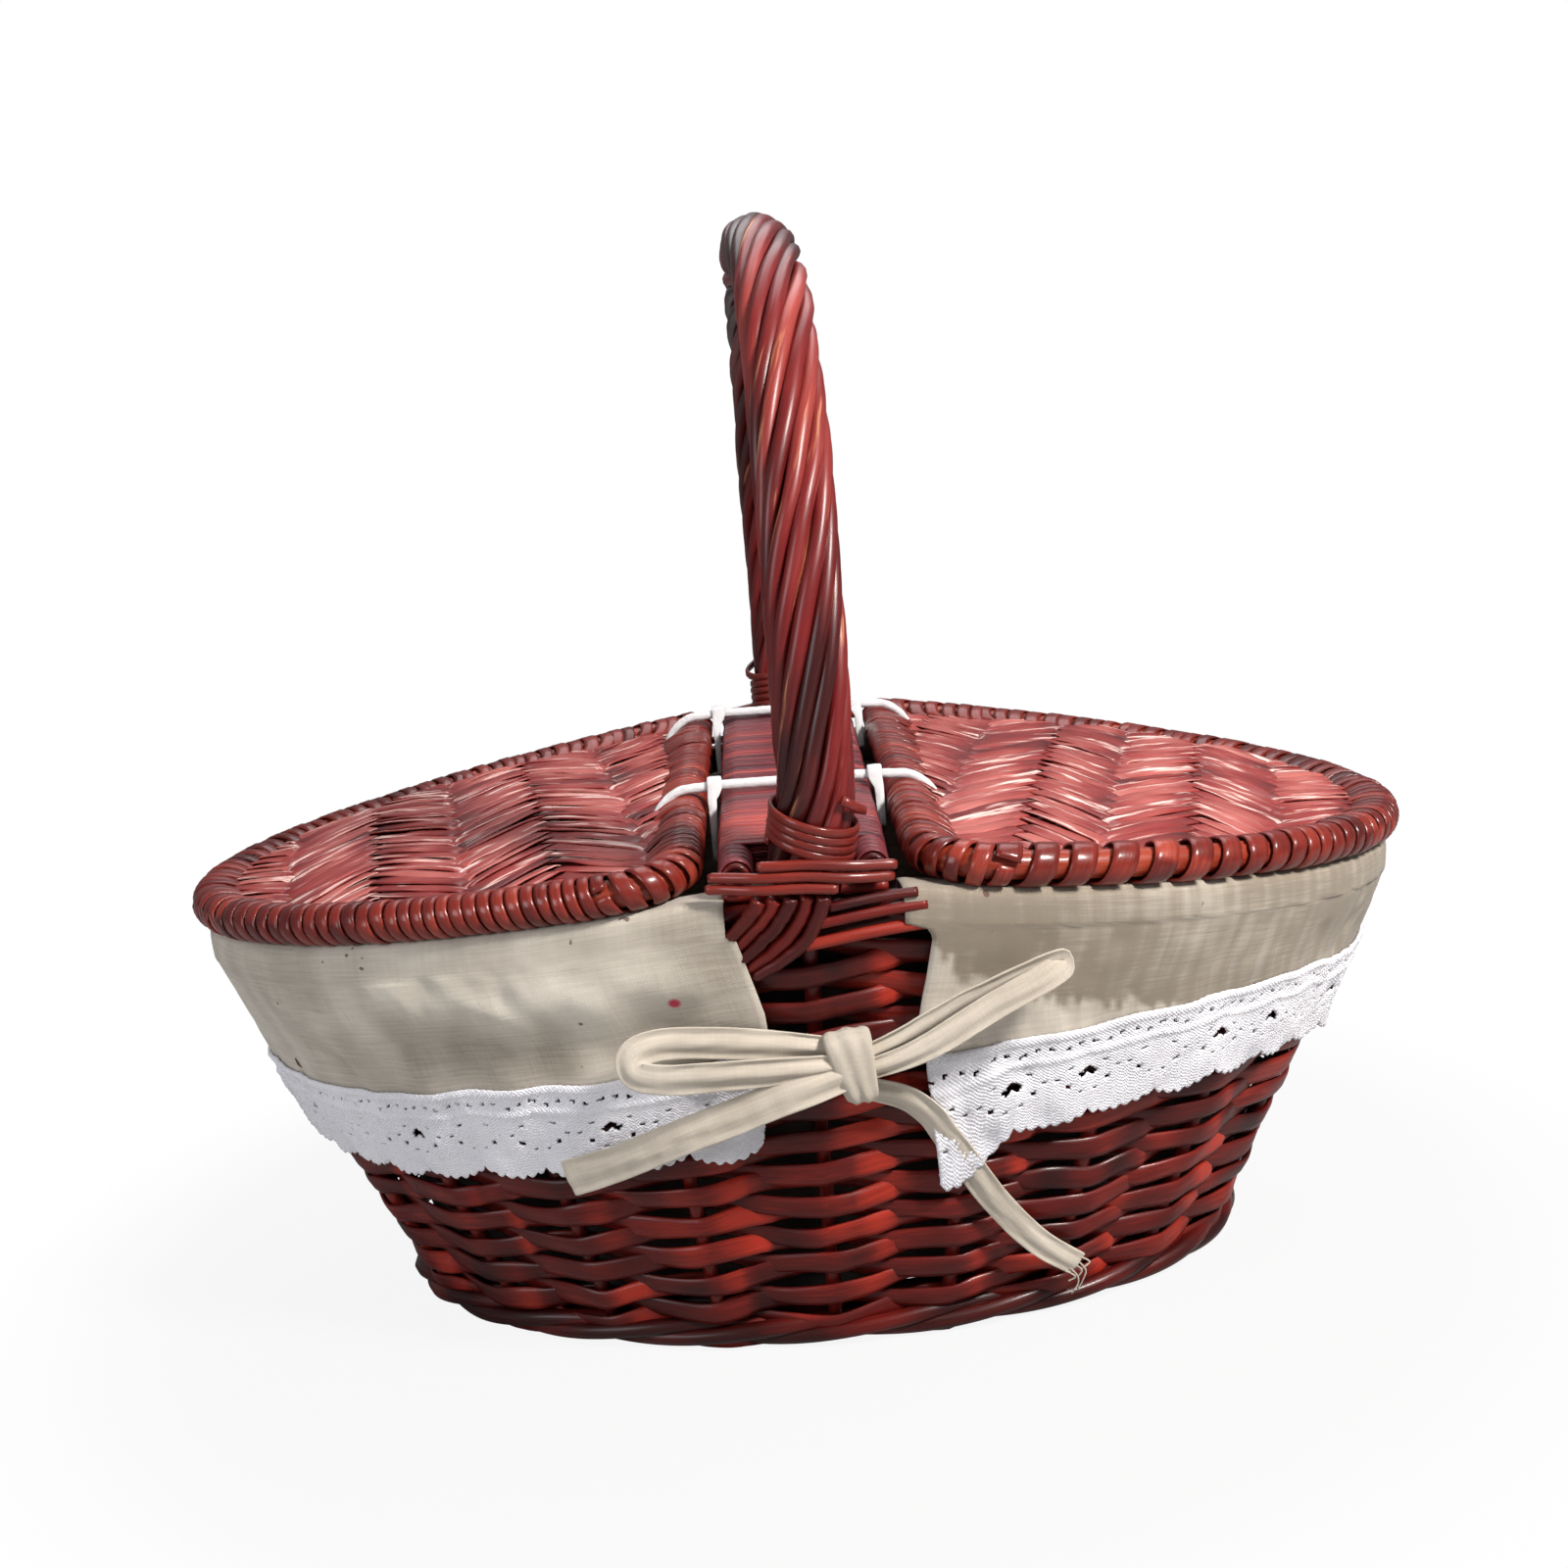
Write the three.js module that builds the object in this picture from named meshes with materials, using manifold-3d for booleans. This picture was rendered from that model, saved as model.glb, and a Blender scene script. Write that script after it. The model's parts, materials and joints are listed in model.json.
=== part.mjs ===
// A wicker picnic hamper: an oval basket with a fixed arched handle over its short axis, a wound bridge
// under the handle, and two D-shaped lids tied to the bridge with cord. A linen liner is folded out over
// the rim as two cuffs edged with lace, and a ribbon is tied in a bow at the front and at the back.
// Millimetres, +Z up, X along the basket, the photographed side towards -Y, origin under the middle.

import * as THREE from 'three';
import { mergeVertices } from 'three/addons/utils/BufferGeometryUtils.js';
import Module from 'manifold-3d';

const wasm = await Module();
wasm.setup();

// Driving dimensions: the basket's body
const footLength = 276; // centre-line of the foot border
const footWidth = 169;
const footBreadth = 12;
const footThickness = 9;
const footBevel = 2;
const rimLength = 379; // centre-line of the rim border
const rimWidth = 237;
const rimBreadth = 11;
const rimThickness = 9;
const rimHeight = 154.4; // top of the rim beside the bridge
const saddleRise = 3.3; // built-up rim that carries the bridge and the handle
const saddleRoot = 3; // how deep it goes into the rim
const stakeCount = 20; // two of these places are taken by the ends of the handle's rod
const stakeRadius = 2.5;
const rowCount = 8;
const caneThickness = 2.5;
const rowGap = 0.6;
const clearance = 0.3; // between pieces that rest on each other
const weaveClearance = 0.55; // between a stake and the cane that passes it

// Driving dimensions: the base
const stickBreadth = 4.5;
const stickThickness = 4;
const stickLift = 1.5; // the sticks lie this far above the table
const longStickCount = 3;
const crossStickCount = 5;
const longStickPitch = 36;
const crossStickPitch = 44;
const baseThickness = 3.2;

// Driving dimensions: the handle
const handleHeight = 337; // centre-line of the rod at the crown
const handleShoulder = 195; // height at which the handle is widest
const handleReach = 122; // half its width there
const handleSway = 5; // the front leg leans this far to the right of the middle
const handleNeck = 6; // it rises straight over this height
const handleTaper = 7; // and swells from a stake to the rod over this one
const handleRodRadius = 5;
const handleSteps = 25;
const strandCount = 8;
const strandRadius = 3;
const strandTurns = 2;
const strandInset = 2; // from a saddle to the strands' ends
const bindingRadius = 1.25; // cane bound round each handle foot
const bindingTurns = 4.5;
const bindingPitch = 3.8;
const lashingRadius = 1.5; // rods laid over the rim under each handle foot
const lashingRods = 3;
const lashingLength = 54;
const footRodRadius = 2;
const footRodReach = 35; // how far below the rim's top the lowest rod ends

// Driving dimensions: the bridge
const bridgeWidth = 49.6;
const railRadius = 4.2;
const railOverhang = 5.5; // past the rim's centre-line
const bridgeBandThickness = 1;
const bridgeBandWidth = 8.6;
const bridgeCorner = 2.4;
const bridgeLoops = 22;

// Driving dimensions: the lids
const lidGap = 57.2; // between the two lids' straight edges
const lidOverhang = 10.5; // past the rim's centre-line
const lidFall = 7.4; // slope of each lid towards its round end, degrees
const lidFrontCorner = 24; // radius
const lidBackCorner = 13;
const hoopRadius = 4.3;
const lidBandThickness = 1;
const lidBandWidth = 5;
const lidBandClearance = 0.7; // the flat band bridges the hoop's curves
const lidLoops = 20;
const panelThickness = 5;
const panelCrown = 4;
const hingeHeight = 166; // of the line that each lid turns about
const cordRadius = 1.9;
const cordReach = 18; // along the lid from its straight edge
const frontCordInset = 91; // from the bridge's front end
const backCordInset = 28; // from its back end
const tieWidth = 3; // along X, in the gap
const tieThickness = 1;
const tieLength = 18;

// Driving dimensions: linen, lace and ribbon
const linenThickness = 1.2;
const linerRound = 6; // where the liner's wall meets its floor
const liningClearance = 1; // between the rim or the weave and the linen inside them
const cuffDrop = 49; // from the rim's top to the hem
const cuffStart = 33; // half the parting between the cuffs at the rim
const cuffOverlap = 16; // where the hem's corner hangs, from the middle
const foldDepth = 3.2;
const foldCount = 9; // folds along one cuff
const laceDepth = 31;
const laceThickness = 1;
const scallopDepth = 3;
const scallopCount = 12;
const ribbonWidth = 14;
const ribbonThickness = 0.9;
const knotWidth = 16;
const knotHeight = 19;
const knotDepth = 10;
const knotPlace = 12; // from the middle
const knotHeightAbove = 100; // the knot's centre above the table
const leftLoopReach = 58; // from the knot's middle to the loop's end
const leftTailReach = 80;
const rightLoopReach = 60;
const rightTailReach = 94;
const loopPuff = 6; // of the bow's loops, off the lace

// Sizes that follow from these
const lidSeat = rimHeight + linenThickness + 2 * clearance;
const saddleTop = rimHeight + saddleRise;
const fall = THREE.MathUtils.degToRad(lidFall);
const weaveOff = stakeRadius + weaveClearance + caneThickness / 2;
const wallOff = weaveOff + caneThickness / 2; // outer face of the weave from the stakes' line
const bandRadius = hoopRadius + lidBandClearance + lidBandThickness;
const railPlace = bridgeWidth / 2 - bridgeBandThickness - clearance - railRadius;
const railHeight = saddleTop + clearance + railRadius;
const bridgeEnd = rimWidth / 2 + railOverhang;
const bridgeTop = railHeight + railRadius + clearance + bridgeBandThickness;
const hingePlace = (lidGap + bridgeWidth) / 4; // in the middle of the gap between bridge and lid
console.log(`hinge lines: x ${hingePlace.toFixed(1)} and ${(-hingePlace).toFixed(1)}, z ${hingeHeight} mm`);
const strandGap = 0.45; // the strands' chords cut in towards the rod
const strandCentre = handleRodRadius + strandGap + strandRadius;
const handleRadius = strandCentre + strandRadius;

const hamper = new THREE.Group();

// One closed body from rings of points. Open runs are capped with strips, or close on a point at each end.
function skin(rings, { closed = false, start = null, end = null } = {}) {
  const count = rings[0].length;
  const points = rings.flat();
  const faces = [];
  const quad = (a, b, c, d) => faces.push(a, b, c, a, c, d);
  for (let i = 0; i < (closed ? rings.length : rings.length - 1); i++) {
    const next = ((i + 1) % rings.length) * count;
    for (let j = 0; j < count; j++) {
      const k = (j + 1) % count;
      quad(i * count + j, i * count + k, next + k, next + j);
    }
  }
  const cap = (first, pole, turn) => {
    const order = (a, b, c) => (turn ? faces.push(a, b, c) : faces.push(a, c, b));
    if (pole) {
      points.push(pole);
      for (let j = 0; j < count; j++) order(points.length - 1, first + j, first + ((j + 1) % count));
      return;
    }
    for (let j = 0; j < Math.ceil(count / 2) - 1; j++) {
      const far = count - 1 - j;
      order(first + j, first + j + 1, first + far);
      if (far - 1 > j + 1) order(first + j + 1, first + far - 1, first + far);
    }
  };
  if (!closed) {
    cap(0, start, false);
    cap((rings.length - 1) * count, end, true);
  }
  const geometry = new THREE.BufferGeometry().setFromPoints(points);
  geometry.setIndex(faces);
  if (volume(geometry) < 0) geometry.setIndex(faces.reverse());
  return geometry;
}

// Six times the signed volume inside the faces: below zero when they point inwards
function volume(geometry) {
  const place = geometry.attributes.position;
  const corner = [new THREE.Vector3(), new THREE.Vector3(), new THREE.Vector3()];
  let sum = 0;
  for (let i = 0; i < geometry.index.count; i += 3) {
    corner.forEach((c, k) => c.fromBufferAttribute(place, geometry.index.getX(i + k)));
    sum += corner[0].dot(corner[1].cross(corner[2]));
  }
  return sum;
}

function solid(geometry) {
  const bare = geometry.clone();
  bare.deleteAttribute('normal');
  bare.deleteAttribute('uv');
  const merged = mergeVertices(bare, 1e-4);
  const vertProperties = new Float32Array(merged.attributes.position.array);
  const triVerts = new Uint32Array(merged.index.array);
  return new wasm.Manifold(new wasm.Mesh({ numProp: 3, vertProperties, triVerts }));
}

function geometryOf(body) {
  const mesh = body.getMesh();
  const geometry = new THREE.BufferGeometry();
  geometry.setAttribute('position', new THREE.BufferAttribute(new Float32Array(mesh.vertProperties), 3));
  geometry.setIndex([...mesh.triVerts]);
  return geometry;
}

function add(name, geometry, material, group = hamper) {
  const mesh = new THREE.Mesh(geometry, material.clone());
  mesh.name = name;
  group.add(mesh);
  return mesh;
}

const finish = (color, roughness) => new THREE.MeshStandardMaterial({ color, roughness, metalness: 0 });
const caneStain = finish(0x6a1c16, 0.35);
const rodStain = finish(0x5c1512, 0.3);
const lidStain = finish(0xb04a40, 0.35);
const bridgeStain = finish(0x8a4a4c, 0.35);
const linen = finish(0xbeb6a5, 0.9);
const crochet = finish(0xdadadd, 0.9);
const ribbonSilk = finish(0xe2d8c6, 0.6);
const cordWhite = finish(0xf0f0ee, 0.7);

// A point on an oval of this length and width, moved out along its normal
function ovalPoint(length, width, angle, off = 0) {
  const x = (length / 2) * Math.cos(angle);
  const y = (width / 2) * Math.sin(angle);
  const normal = new THREE.Vector2(x / length ** 2, y / width ** 2).normalize();
  return new THREE.Vector2(x, y).addScaledVector(normal, off);
}

// The rim's top: level beside the bridge, falling under each lid
const rimPlane = (x) => rimHeight - Math.tan(fall) * Math.max(Math.abs(x) - lidGap / 2, 0);

// The wall is made of straight lines from the foot border to the rim: share 0 to 1 runs up one of them
function wallPoint(angle, share, off = 0) {
  const size = (foot, rim) => THREE.MathUtils.lerp(foot, rim, share);
  const plan = ovalPoint(size(footLength, rimLength), size(footWidth, rimWidth), angle, off);
  const rimX = ovalPoint(rimLength, rimWidth, angle).x;
  const top = rimPlane(rimX) - rimThickness;
  return new THREE.Vector3(plan.x, plan.y, THREE.MathUtils.lerp(footThickness, top, share));
}
const wallHeight = rimHeight - rimThickness - footThickness;

// Angles of the stakes and of the middles between them, evenly spaced round the wall from the front
function evenAngles(count) {
  const samples = 3600;
  const middle = (i) => {
    const angle = -Math.PI / 2 + (2 * Math.PI * i) / samples;
    return ovalPoint((footLength + rimLength) / 2, (footWidth + rimWidth) / 2, angle);
  };
  const run = [0];
  for (let i = 0; i < samples; i++) run.push(run[i] + middle(i).distanceTo(middle(i + 1)));
  return Array.from({ length: count }, (_, k) => {
    const goal = (run[samples] * k) / count;
    const i = Math.max(run.findIndex((length) => length > goal) - 1, 0);
    const part = (goal - run[i]) / (run[i + 1] - run[i]);
    return -Math.PI / 2 + (2 * Math.PI * (i + part)) / samples;
  });
}
const wallAngles = evenAngles(2 * stakeCount);
const handlePlaces = [0, stakeCount]; // the front and the back, among the wall angles

// A ring that follows the wall's angles, from a section of [off, height] pairs
function ovalRing(length, width, section, level) {
  const rings = wallAngles.map((angle) => section.map(([off, height]) => {
    const plan = ovalPoint(length, width, angle, off);
    return new THREE.Vector3(plan.x, plan.y, level(plan.x) + height);
  }));
  return skin(rings, { closed: true });
}

function circle(centre, radius, sides, across = new THREE.Vector3(1, 0, 0), up = new THREE.Vector3(0, 1, 0)) {
  return Array.from({ length: sides }, (_, j) => {
    const turn = (2 * Math.PI * j) / sides;
    const out = across.clone().multiplyScalar(Math.cos(turn)).addScaledVector(up, Math.sin(turn));
    return centre.clone().addScaledVector(out, radius);
  });
}

// Foot border with the side stakes rising from it
function stakeFrame() {
  const half = footBreadth / 2;
  const flat = half - footBevel;
  const section = [[-half, footBevel], [-flat, 0], [flat, 0], [half, footBevel], [flat, footThickness],
    [-flat, footThickness]];
  let body = solid(ovalRing(footLength, footWidth, section, () => 0));
  for (let k = 0; k < wallAngles.length; k += 2) {
    if (handlePlaces.includes(k)) continue;
    const topGap = 2 * clearance + stakeRadius * Math.tan(fall);
    const ends = [-footThickness / 2 / wallHeight, 1 - topGap / wallHeight];
    const rings = ends.map((share) => circle(wallPoint(wallAngles[k], share), stakeRadius, 6));
    body = body.add(solid(skin(rings)));
  }
  return geometryOf(body);
}
add('stake_frame', stakeFrame(), rodStain);

// Sticks that cross under the base, cut to the foot border's inside
function baseSticks() {
  const reach = -footBreadth / 2 - clearance;
  const outline = [stickLift, stickLift + stickThickness].map((height) => wallAngles.map((angle) => {
    const plan = ovalPoint(footLength, footWidth, angle, reach);
    return new THREE.Vector3(plan.x, plan.y, height);
  }));
  const grid = [];
  const middle = stickLift + stickThickness / 2;
  const place = (count, i) => i - (count - 1) / 2;
  for (let i = 0; i < longStickCount; i++) {
    const stick = new THREE.BoxGeometry(footLength, stickBreadth, stickThickness);
    grid.push(stick.translate(0, place(longStickCount, i) * longStickPitch, middle));
  }
  for (let i = 0; i < crossStickCount; i++) {
    const stick = new THREE.BoxGeometry(stickBreadth, footWidth, stickThickness);
    grid.push(stick.translate(place(crossStickCount, i) * crossStickPitch, 0, middle));
  }
  const joined = grid.map(solid).reduce((whole, stick) => whole.add(stick));
  return geometryOf(joined.intersect(solid(skin(outline))));
}
add('base_sticks', baseSticks(), rodStain);

// The woven base, laid on the sticks
const baseBottom = stickLift + stickThickness + clearance;
const baseTop = baseBottom + baseThickness;
function baseWeave() {
  const reach = -footBreadth / 2 - clearance;
  const rings = [baseBottom, baseTop].map((height) => wallAngles.map((angle) => {
    const plan = ovalPoint(footLength, footWidth, angle, reach);
    return new THREE.Vector3(plan.x, plan.y, height);
  }));
  const middle = (height) => new THREE.Vector3(0, 0, height);
  return skin(rings, { start: middle(baseBottom), end: middle(baseTop) });
}
add('base_weave', baseWeave(), caneStain);

// One row of cane, outside every other stake and inside the rest
function weaveRow(row) {
  const top = 1 - rowGap / wallHeight;
  const pitch = top / rowCount;
  const low = row * pitch + rowGap / 2 / wallHeight;
  const high = (row + 1) * pitch - rowGap / 2 / wallHeight;
  const rings = wallAngles.map((angle, k) => {
    const side = k % 2 ? 0 : (k / 2 + row) % 2 ? -1 : 1;
    const inner = side * weaveOff - caneThickness / 2;
    const outer = side * weaveOff + caneThickness / 2;
    const corners = [[low, inner], [low, outer], [high, outer], [high, inner]];
    return corners.map(([share, off]) => wallPoint(angle, share, off));
  });
  return skin(rings, { closed: true });
}
for (let row = 0; row < rowCount; row++) {
  add(`weave_row_${String(row + 1).padStart(2, '0')}`, weaveRow(row), caneStain);
}

// Rim border, built up under the bridge, with a hole at each end of the handle
function rimBorder() {
  const half = rimBreadth / 2;
  const flat = half * 0.65;
  const section = [[-half, -rimThickness / 2], [-flat, -rimThickness], [flat, -rimThickness],
    [half, -rimThickness / 2], [flat, 0], [-flat, 0]];
  let body = solid(ovalRing(rimLength, rimWidth, section, rimPlane));
  for (const side of [-1, 1]) {
    const saddleHeight = saddleRise + saddleRoot;
    const saddle = new THREE.BoxGeometry(2 * (railPlace + railRadius), 2 * flat, saddleHeight);
    body = body.add(solid(saddle.translate(0, (side * rimWidth) / 2, saddleTop - saddleHeight / 2)));
    const hole = [-2 * rimThickness, 2 * saddleRise].map((height) => {
      const centre = new THREE.Vector3(0, (side * rimWidth) / 2, rimHeight + height);
      return circle(centre, (stakeRadius + clearance) / Math.cos(Math.PI / 6), 6);
    });
    body = body.subtract(solid(skin(hole)));
  }
  return geometryOf(body);
}
add('rim_border', rimBorder(), rodStain);

// The handle's line, from the saddle at the front over the crown to the saddle at the back
const handleStart = saddleTop + 2 * clearance;
function handleLine() {
  const half = rimWidth / 2;
  const places = [[half, handleStart, 0], [half, handleStart + handleNeck, 0.2 * handleSway],
    [THREE.MathUtils.lerp(half, handleReach, 0.7), THREE.MathUtils.lerp(handleStart, handleShoulder, 0.55),
      0.7 * handleSway]];
  const roundness = 0.87; // below 1 the arch is fuller than an ellipse
  for (let angle = 0; angle <= 90; angle += 15) {
    const turn = THREE.MathUtils.degToRad(angle);
    const reach = handleReach * Math.max(Math.cos(turn), 0) ** roundness;
    const sway = handleSway * (1 - (1 - Math.cos(turn)) ** 2);
    const rise = (handleHeight - handleShoulder) * Math.sin(turn) ** roundness;
    places.push([reach, handleShoulder + rise, sway]);
  }
  const crown = places.pop();
  const front = places.map(([reach, height, sway]) => new THREE.Vector3(sway, -reach, height));
  front.push(new THREE.Vector3(0, 0, crown[1]));
  const back = places.toReversed().map(([reach, height]) => new THREE.Vector3(0, reach, height));
  return new THREE.CatmullRomCurve3([...front, ...back], false, 'centripetal');
}
const handleCurve = handleLine();
handleCurve.arcLengthDivisions = 800;
const handleRun = handleCurve.getLength();

// Centre and cross directions of the handle at a distance along it from the front saddle
function handleFrame(distance) {
  const share = THREE.MathUtils.clamp(distance / handleRun, 0, 1);
  const along = handleCurve.getTangentAt(share);
  const across = new THREE.Vector3(1, 0, 0).addScaledVector(along, -along.x).normalize();
  const up = new THREE.Vector3().crossVectors(along, across);
  return { centre: handleCurve.getPointAt(share), along, across, up };
}

// The rod: a stake at each end, up through the rim, and the thick bow between
function handleBow() {
  const foot = (side, share) => {
    const angle = wallAngles[handlePlaces[side]];
    const centre = wallPoint(angle, share);
    return circle(centre, stakeRadius, 6, undefined, new THREE.Vector3(0, side ? 1 : -1, 0));
  };
  const neck = (side, height) => {
    const centre = new THREE.Vector3(0, ((side ? 1 : -1) * rimWidth) / 2, height);
    return circle(centre, stakeRadius, 6, undefined, new THREE.Vector3(0, side ? 1 : -1, 0));
  };
  const end = (side) => [foot(side, clearance / wallHeight), foot(side, 1), neck(side, handleStart)];
  const rings = [...end(0)];
  for (let i = 0; i <= handleSteps; i++) {
    const distance = handleTaper + ((handleRun - 2 * handleTaper) * i) / handleSteps;
    const { centre, across, up } = handleFrame(distance);
    rings.push(circle(centre, handleRodRadius, 6, across, up.clone().negate()));
  }
  return skin([...rings, ...end(1).reverse()]);
}
add('handle_bow', handleBow(), rodStain);

// Rods twisted round the bow
function handleStrand(number) {
  const phase = (2 * Math.PI * number) / strandCount;
  const rings = [];
  for (let i = 0; i <= handleSteps; i++) {
    const share = i / handleSteps;
    const { centre, across, up } = handleFrame(strandInset + (handleRun - 2 * strandInset) * share);
    const turn = phase + 2 * Math.PI * strandTurns * share;
    const middle = centre.clone().addScaledVector(across, strandCentre * Math.cos(turn));
    middle.addScaledVector(up, strandCentre * Math.sin(turn));
    rings.push(circle(middle, strandRadius, 5, across, up));
  }
  return skin(rings);
}
for (let number = 0; number < strandCount; number++) {
  add(`handle_strand_${String(number + 1).padStart(2, '0')}`, handleStrand(number), rodStain);
}

// Least distance between the points of turns that lie side by side
function leastGap(rings, stepsPerTurn) {
  let least = Infinity;
  const middle = (ring, j) => ring[j].clone().lerp(ring[(j + 1) % ring.length], 0.5);
  const points = rings.map((ring) => ring.flatMap((p, j) => [p, middle(ring, j)]));
  for (let i = 0; i < rings.length; i++) {
    for (let j = i + Math.floor(stepsPerTurn / 2); j < Math.min(rings.length, i + 2 * stepsPerTurn); j++) {
      for (const p of points[i]) least = Math.min(least, ...points[j].map((q) => p.distanceTo(q)));
    }
  }
  return least;
}

// Cane bound round a handle foot, with straight ends. The back one is the front one turned half round.
function footBinding(back) {
  const steps = 12;
  const footFrame = (distance) => {
    const frame = handleFrame(back ? handleRun - distance : distance);
    return back ? { ...frame, along: frame.along.negate(), across: frame.across.negate() } : frame;
  };
  const around = handleRadius + 2 * clearance + bindingRadius;
  const level = lashingRods * 2 * lashingRadius + 2 * bindingRadius; // above the lashing's top
  const lean = Math.abs(footFrame(level + handleRadius).along.y);
  const low = level + around * lean; // so that the side to which the handle leans stays above it too
  const rings = [];
  const ringAt = (turn, along, push) => {
    const { centre, along: axis, across, up } = footFrame(low + along);
    const out = across.clone().multiplyScalar(Math.cos(turn)).addScaledVector(up, Math.sin(turn));
    const ahead = up.clone().multiplyScalar(Math.cos(turn)).addScaledVector(across, -Math.sin(turn));
    const middle = centre.clone().addScaledVector(out, around).addScaledVector(ahead, push);
    return circle(middle, bindingRadius, 5, out, axis);
  };
  const last = steps * bindingTurns;
  rings.push(ringAt(0, 0, -2 * bindingRadius));
  for (let i = 0; i <= last; i++) {
    rings.push(ringAt((2 * Math.PI * i) / steps, (bindingPitch * i) / steps, 0));
  }
  rings.push(ringAt(2 * Math.PI * bindingTurns, bindingPitch * bindingTurns, 2 * bindingRadius));
  console.log(`foot binding: least gap to itself ${leastGap(rings, steps).toFixed(2)} mm`);
  return skin(rings);
}

// A line of points joined by a smooth curve, and its cross directions for a level section
function sweep(points, steps, section) {
  const curve = new THREE.CatmullRomCurve3(points, false, 'centripetal');
  const rings = [];
  for (let i = 0; i <= steps; i++) {
    const centre = curve.getPointAt(i / steps);
    const along = curve.getTangentAt(i / steps);
    const out = new THREE.Vector3(along.y, -along.x, 0).normalize();
    const up = new THREE.Vector3().crossVectors(out, along).normalize();
    rings.push(section.map(([a, b]) => centre.clone().addScaledVector(out, a).addScaledVector(up, b)));
  }
  return skin(rings);
}

// Three rods side by side over the rim, bowed out round the handle's foot
function footLashing() {
  const waist = lashingRadius * 0.55; // half the thickness where two rods touch
  const outline = [];
  for (let rod = 0; rod < lashingRods; rod++) {
    outline.push([waist, 2 * lashingRadius * rod], [lashingRadius, 2 * lashingRadius * (rod + 0.5)]);
  }
  outline.push([waist, 2 * lashingRadius * lashingRods]);
  const section = [...outline, ...outline.toReversed().map(([a, b]) => [-a, b])];
  const half = lashingLength / 2;
  const side = bridgeEnd + 2 * clearance + lashingRadius;
  const foot = Math.abs(handleFrame(2 * lashingRadius * lashingRods).centre.y);
  const middle = foot + handleRadius + 2 * clearance + lashingRadius;
  const left = [[-half, side], [-0.7 * half, side], [-0.36 * half, THREE.MathUtils.lerp(side, middle, 0.67)]];
  const right = left.toReversed().map(([x, reach]) => [-x, reach]);
  const points = [...left, [0, middle], ...right].map(([x, reach]) => {
    return new THREE.Vector3(x, -reach, saddleTop + 2 * clearance);
  });
  return sweep(points, 8, section);
}

// A point just outside the front of the wall, x from the middle
function frontPoint(x, height, off) {
  const share = Math.min((height - footThickness) / wallHeight, 1);
  const length = THREE.MathUtils.lerp(footLength, rimLength, share);
  const width = THREE.MathUtils.lerp(footWidth, rimWidth, share);
  const plan = ovalPoint(length, width, -Math.acos((2 * x) / length), off);
  return new THREE.Vector3(plan.x, plan.y, height);
}

// Rod ends that splay from under the lashing down the wall, and two that slant up to the right. Each run
// is a rod's two ends as shares of the reach: x from the middle, and height from the rim's top.
function footRods() {
  const off = wallOff + 3 * clearance + footRodRadius;
  const section = circle(new THREE.Vector3(), footRodRadius, 5).map((p) => [p.x, p.y]);
  const runs = [[[0.14, -0.03], [-0.46, -0.94]], [[0, -0.03], [-0.6, -0.8]], [[0.29, -0.03], [-0.26, -1]],
    [[-0.48, -0.6], [0.71, -0.11]], [[-0.11, -0.69], [0.74, -0.26]]];
  const rods = runs.map(([from, to]) => {
    const line = [0, 0.25, 0.5, 0.75, 1].map((part) => {
      const x = footRodReach * THREE.MathUtils.lerp(from[0], to[0], part);
      return frontPoint(x, rimHeight + footRodReach * THREE.MathUtils.lerp(from[1], to[1], part), off);
    });
    return solid(sweep(line, 3, section));
  });
  return geometryOf(rods.reduce((whole, rod) => whole.add(rod)));
}

// The front copy and, turned half round, the back copy of what sits at both sides
function bothSides(name, geometry, material, suffixes = ['front', 'back']) {
  const turned = new THREE.Group();
  turned.rotation.z = Math.PI;
  hamper.add(turned);
  add(name(suffixes[0]), geometry, material);
  add(name(suffixes[1]), geometry, material, turned);
}
add('foot_binding_front', footBinding(false), rodStain);
add('foot_binding_back', footBinding(true), rodStain);
bothSides((side) => `foot_lashing_${side}`, footLashing(), rodStain);
bothSides((side) => `foot_rods_${side}`, footRods(), rodStain);

// The bridge's rails, seated on the saddles
function bridgeRail() {
  const reach = rimWidth / 2 + railOverhang;
  const rings = [-reach, reach].map((y) => {
    const centre = new THREE.Vector3(railPlace, y, railHeight);
    return circle(centre, railRadius, 8, undefined, new THREE.Vector3(0, 0, 1));
  });
  return skin(rings);
}
bothSides((side) => `bridge_rail_${side}`, bridgeRail(), rodStain, ['right', 'left']);

// Flat cane wound round both rails, one unbroken band
function bridgeWinding() {
  const outline = (grow) => {
    const x = bridgeWidth / 2 - bridgeBandThickness + grow;
    const z = railRadius + clearance + grow;
    const [cutX, cutZ] = [x - bridgeCorner, z - bridgeCorner];
    return [[cutX, -z], [x, -cutZ], [x, cutZ], [cutX, z], [-cutX, z], [-x, cutZ], [-x, -cutZ], [-cutX, -z]];
  };
  const inner = outline(0);
  const outer = outline(bridgeBandThickness);
  const runs = inner.map(([x, z], j) => {
    const next = inner[(j + 1) % inner.length];
    return Math.hypot(next[0] - x, next[1] - z);
  });
  const around = runs.reduce((a, b) => a + b);
  const reach = rimWidth / 2 - handleRadius - 6 * clearance;
  const pitch = (2 * reach - bridgeBandWidth) / bridgeLoops;
  const rings = [];
  for (let loop = 0; loop < bridgeLoops; loop++) {
    let gone = 0;
    inner.forEach((_, j) => {
      const middle = -reach + bridgeBandWidth / 2 + pitch * (loop + gone / around);
      const at = ([x, z], y) => new THREE.Vector3(x, y, railHeight + z);
      const low = middle - bridgeBandWidth / 2;
      const high = middle + bridgeBandWidth / 2;
      rings.push([at(inner[j], low), at(outer[j], low), at(outer[j], high), at(inner[j], high)]);
      gone += runs[j];
    });
  }
  console.log(`bridge winding: least gap to itself ${leastGap(rings, inner.length).toFixed(2)} mm`);
  return skin(rings);
}
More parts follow.
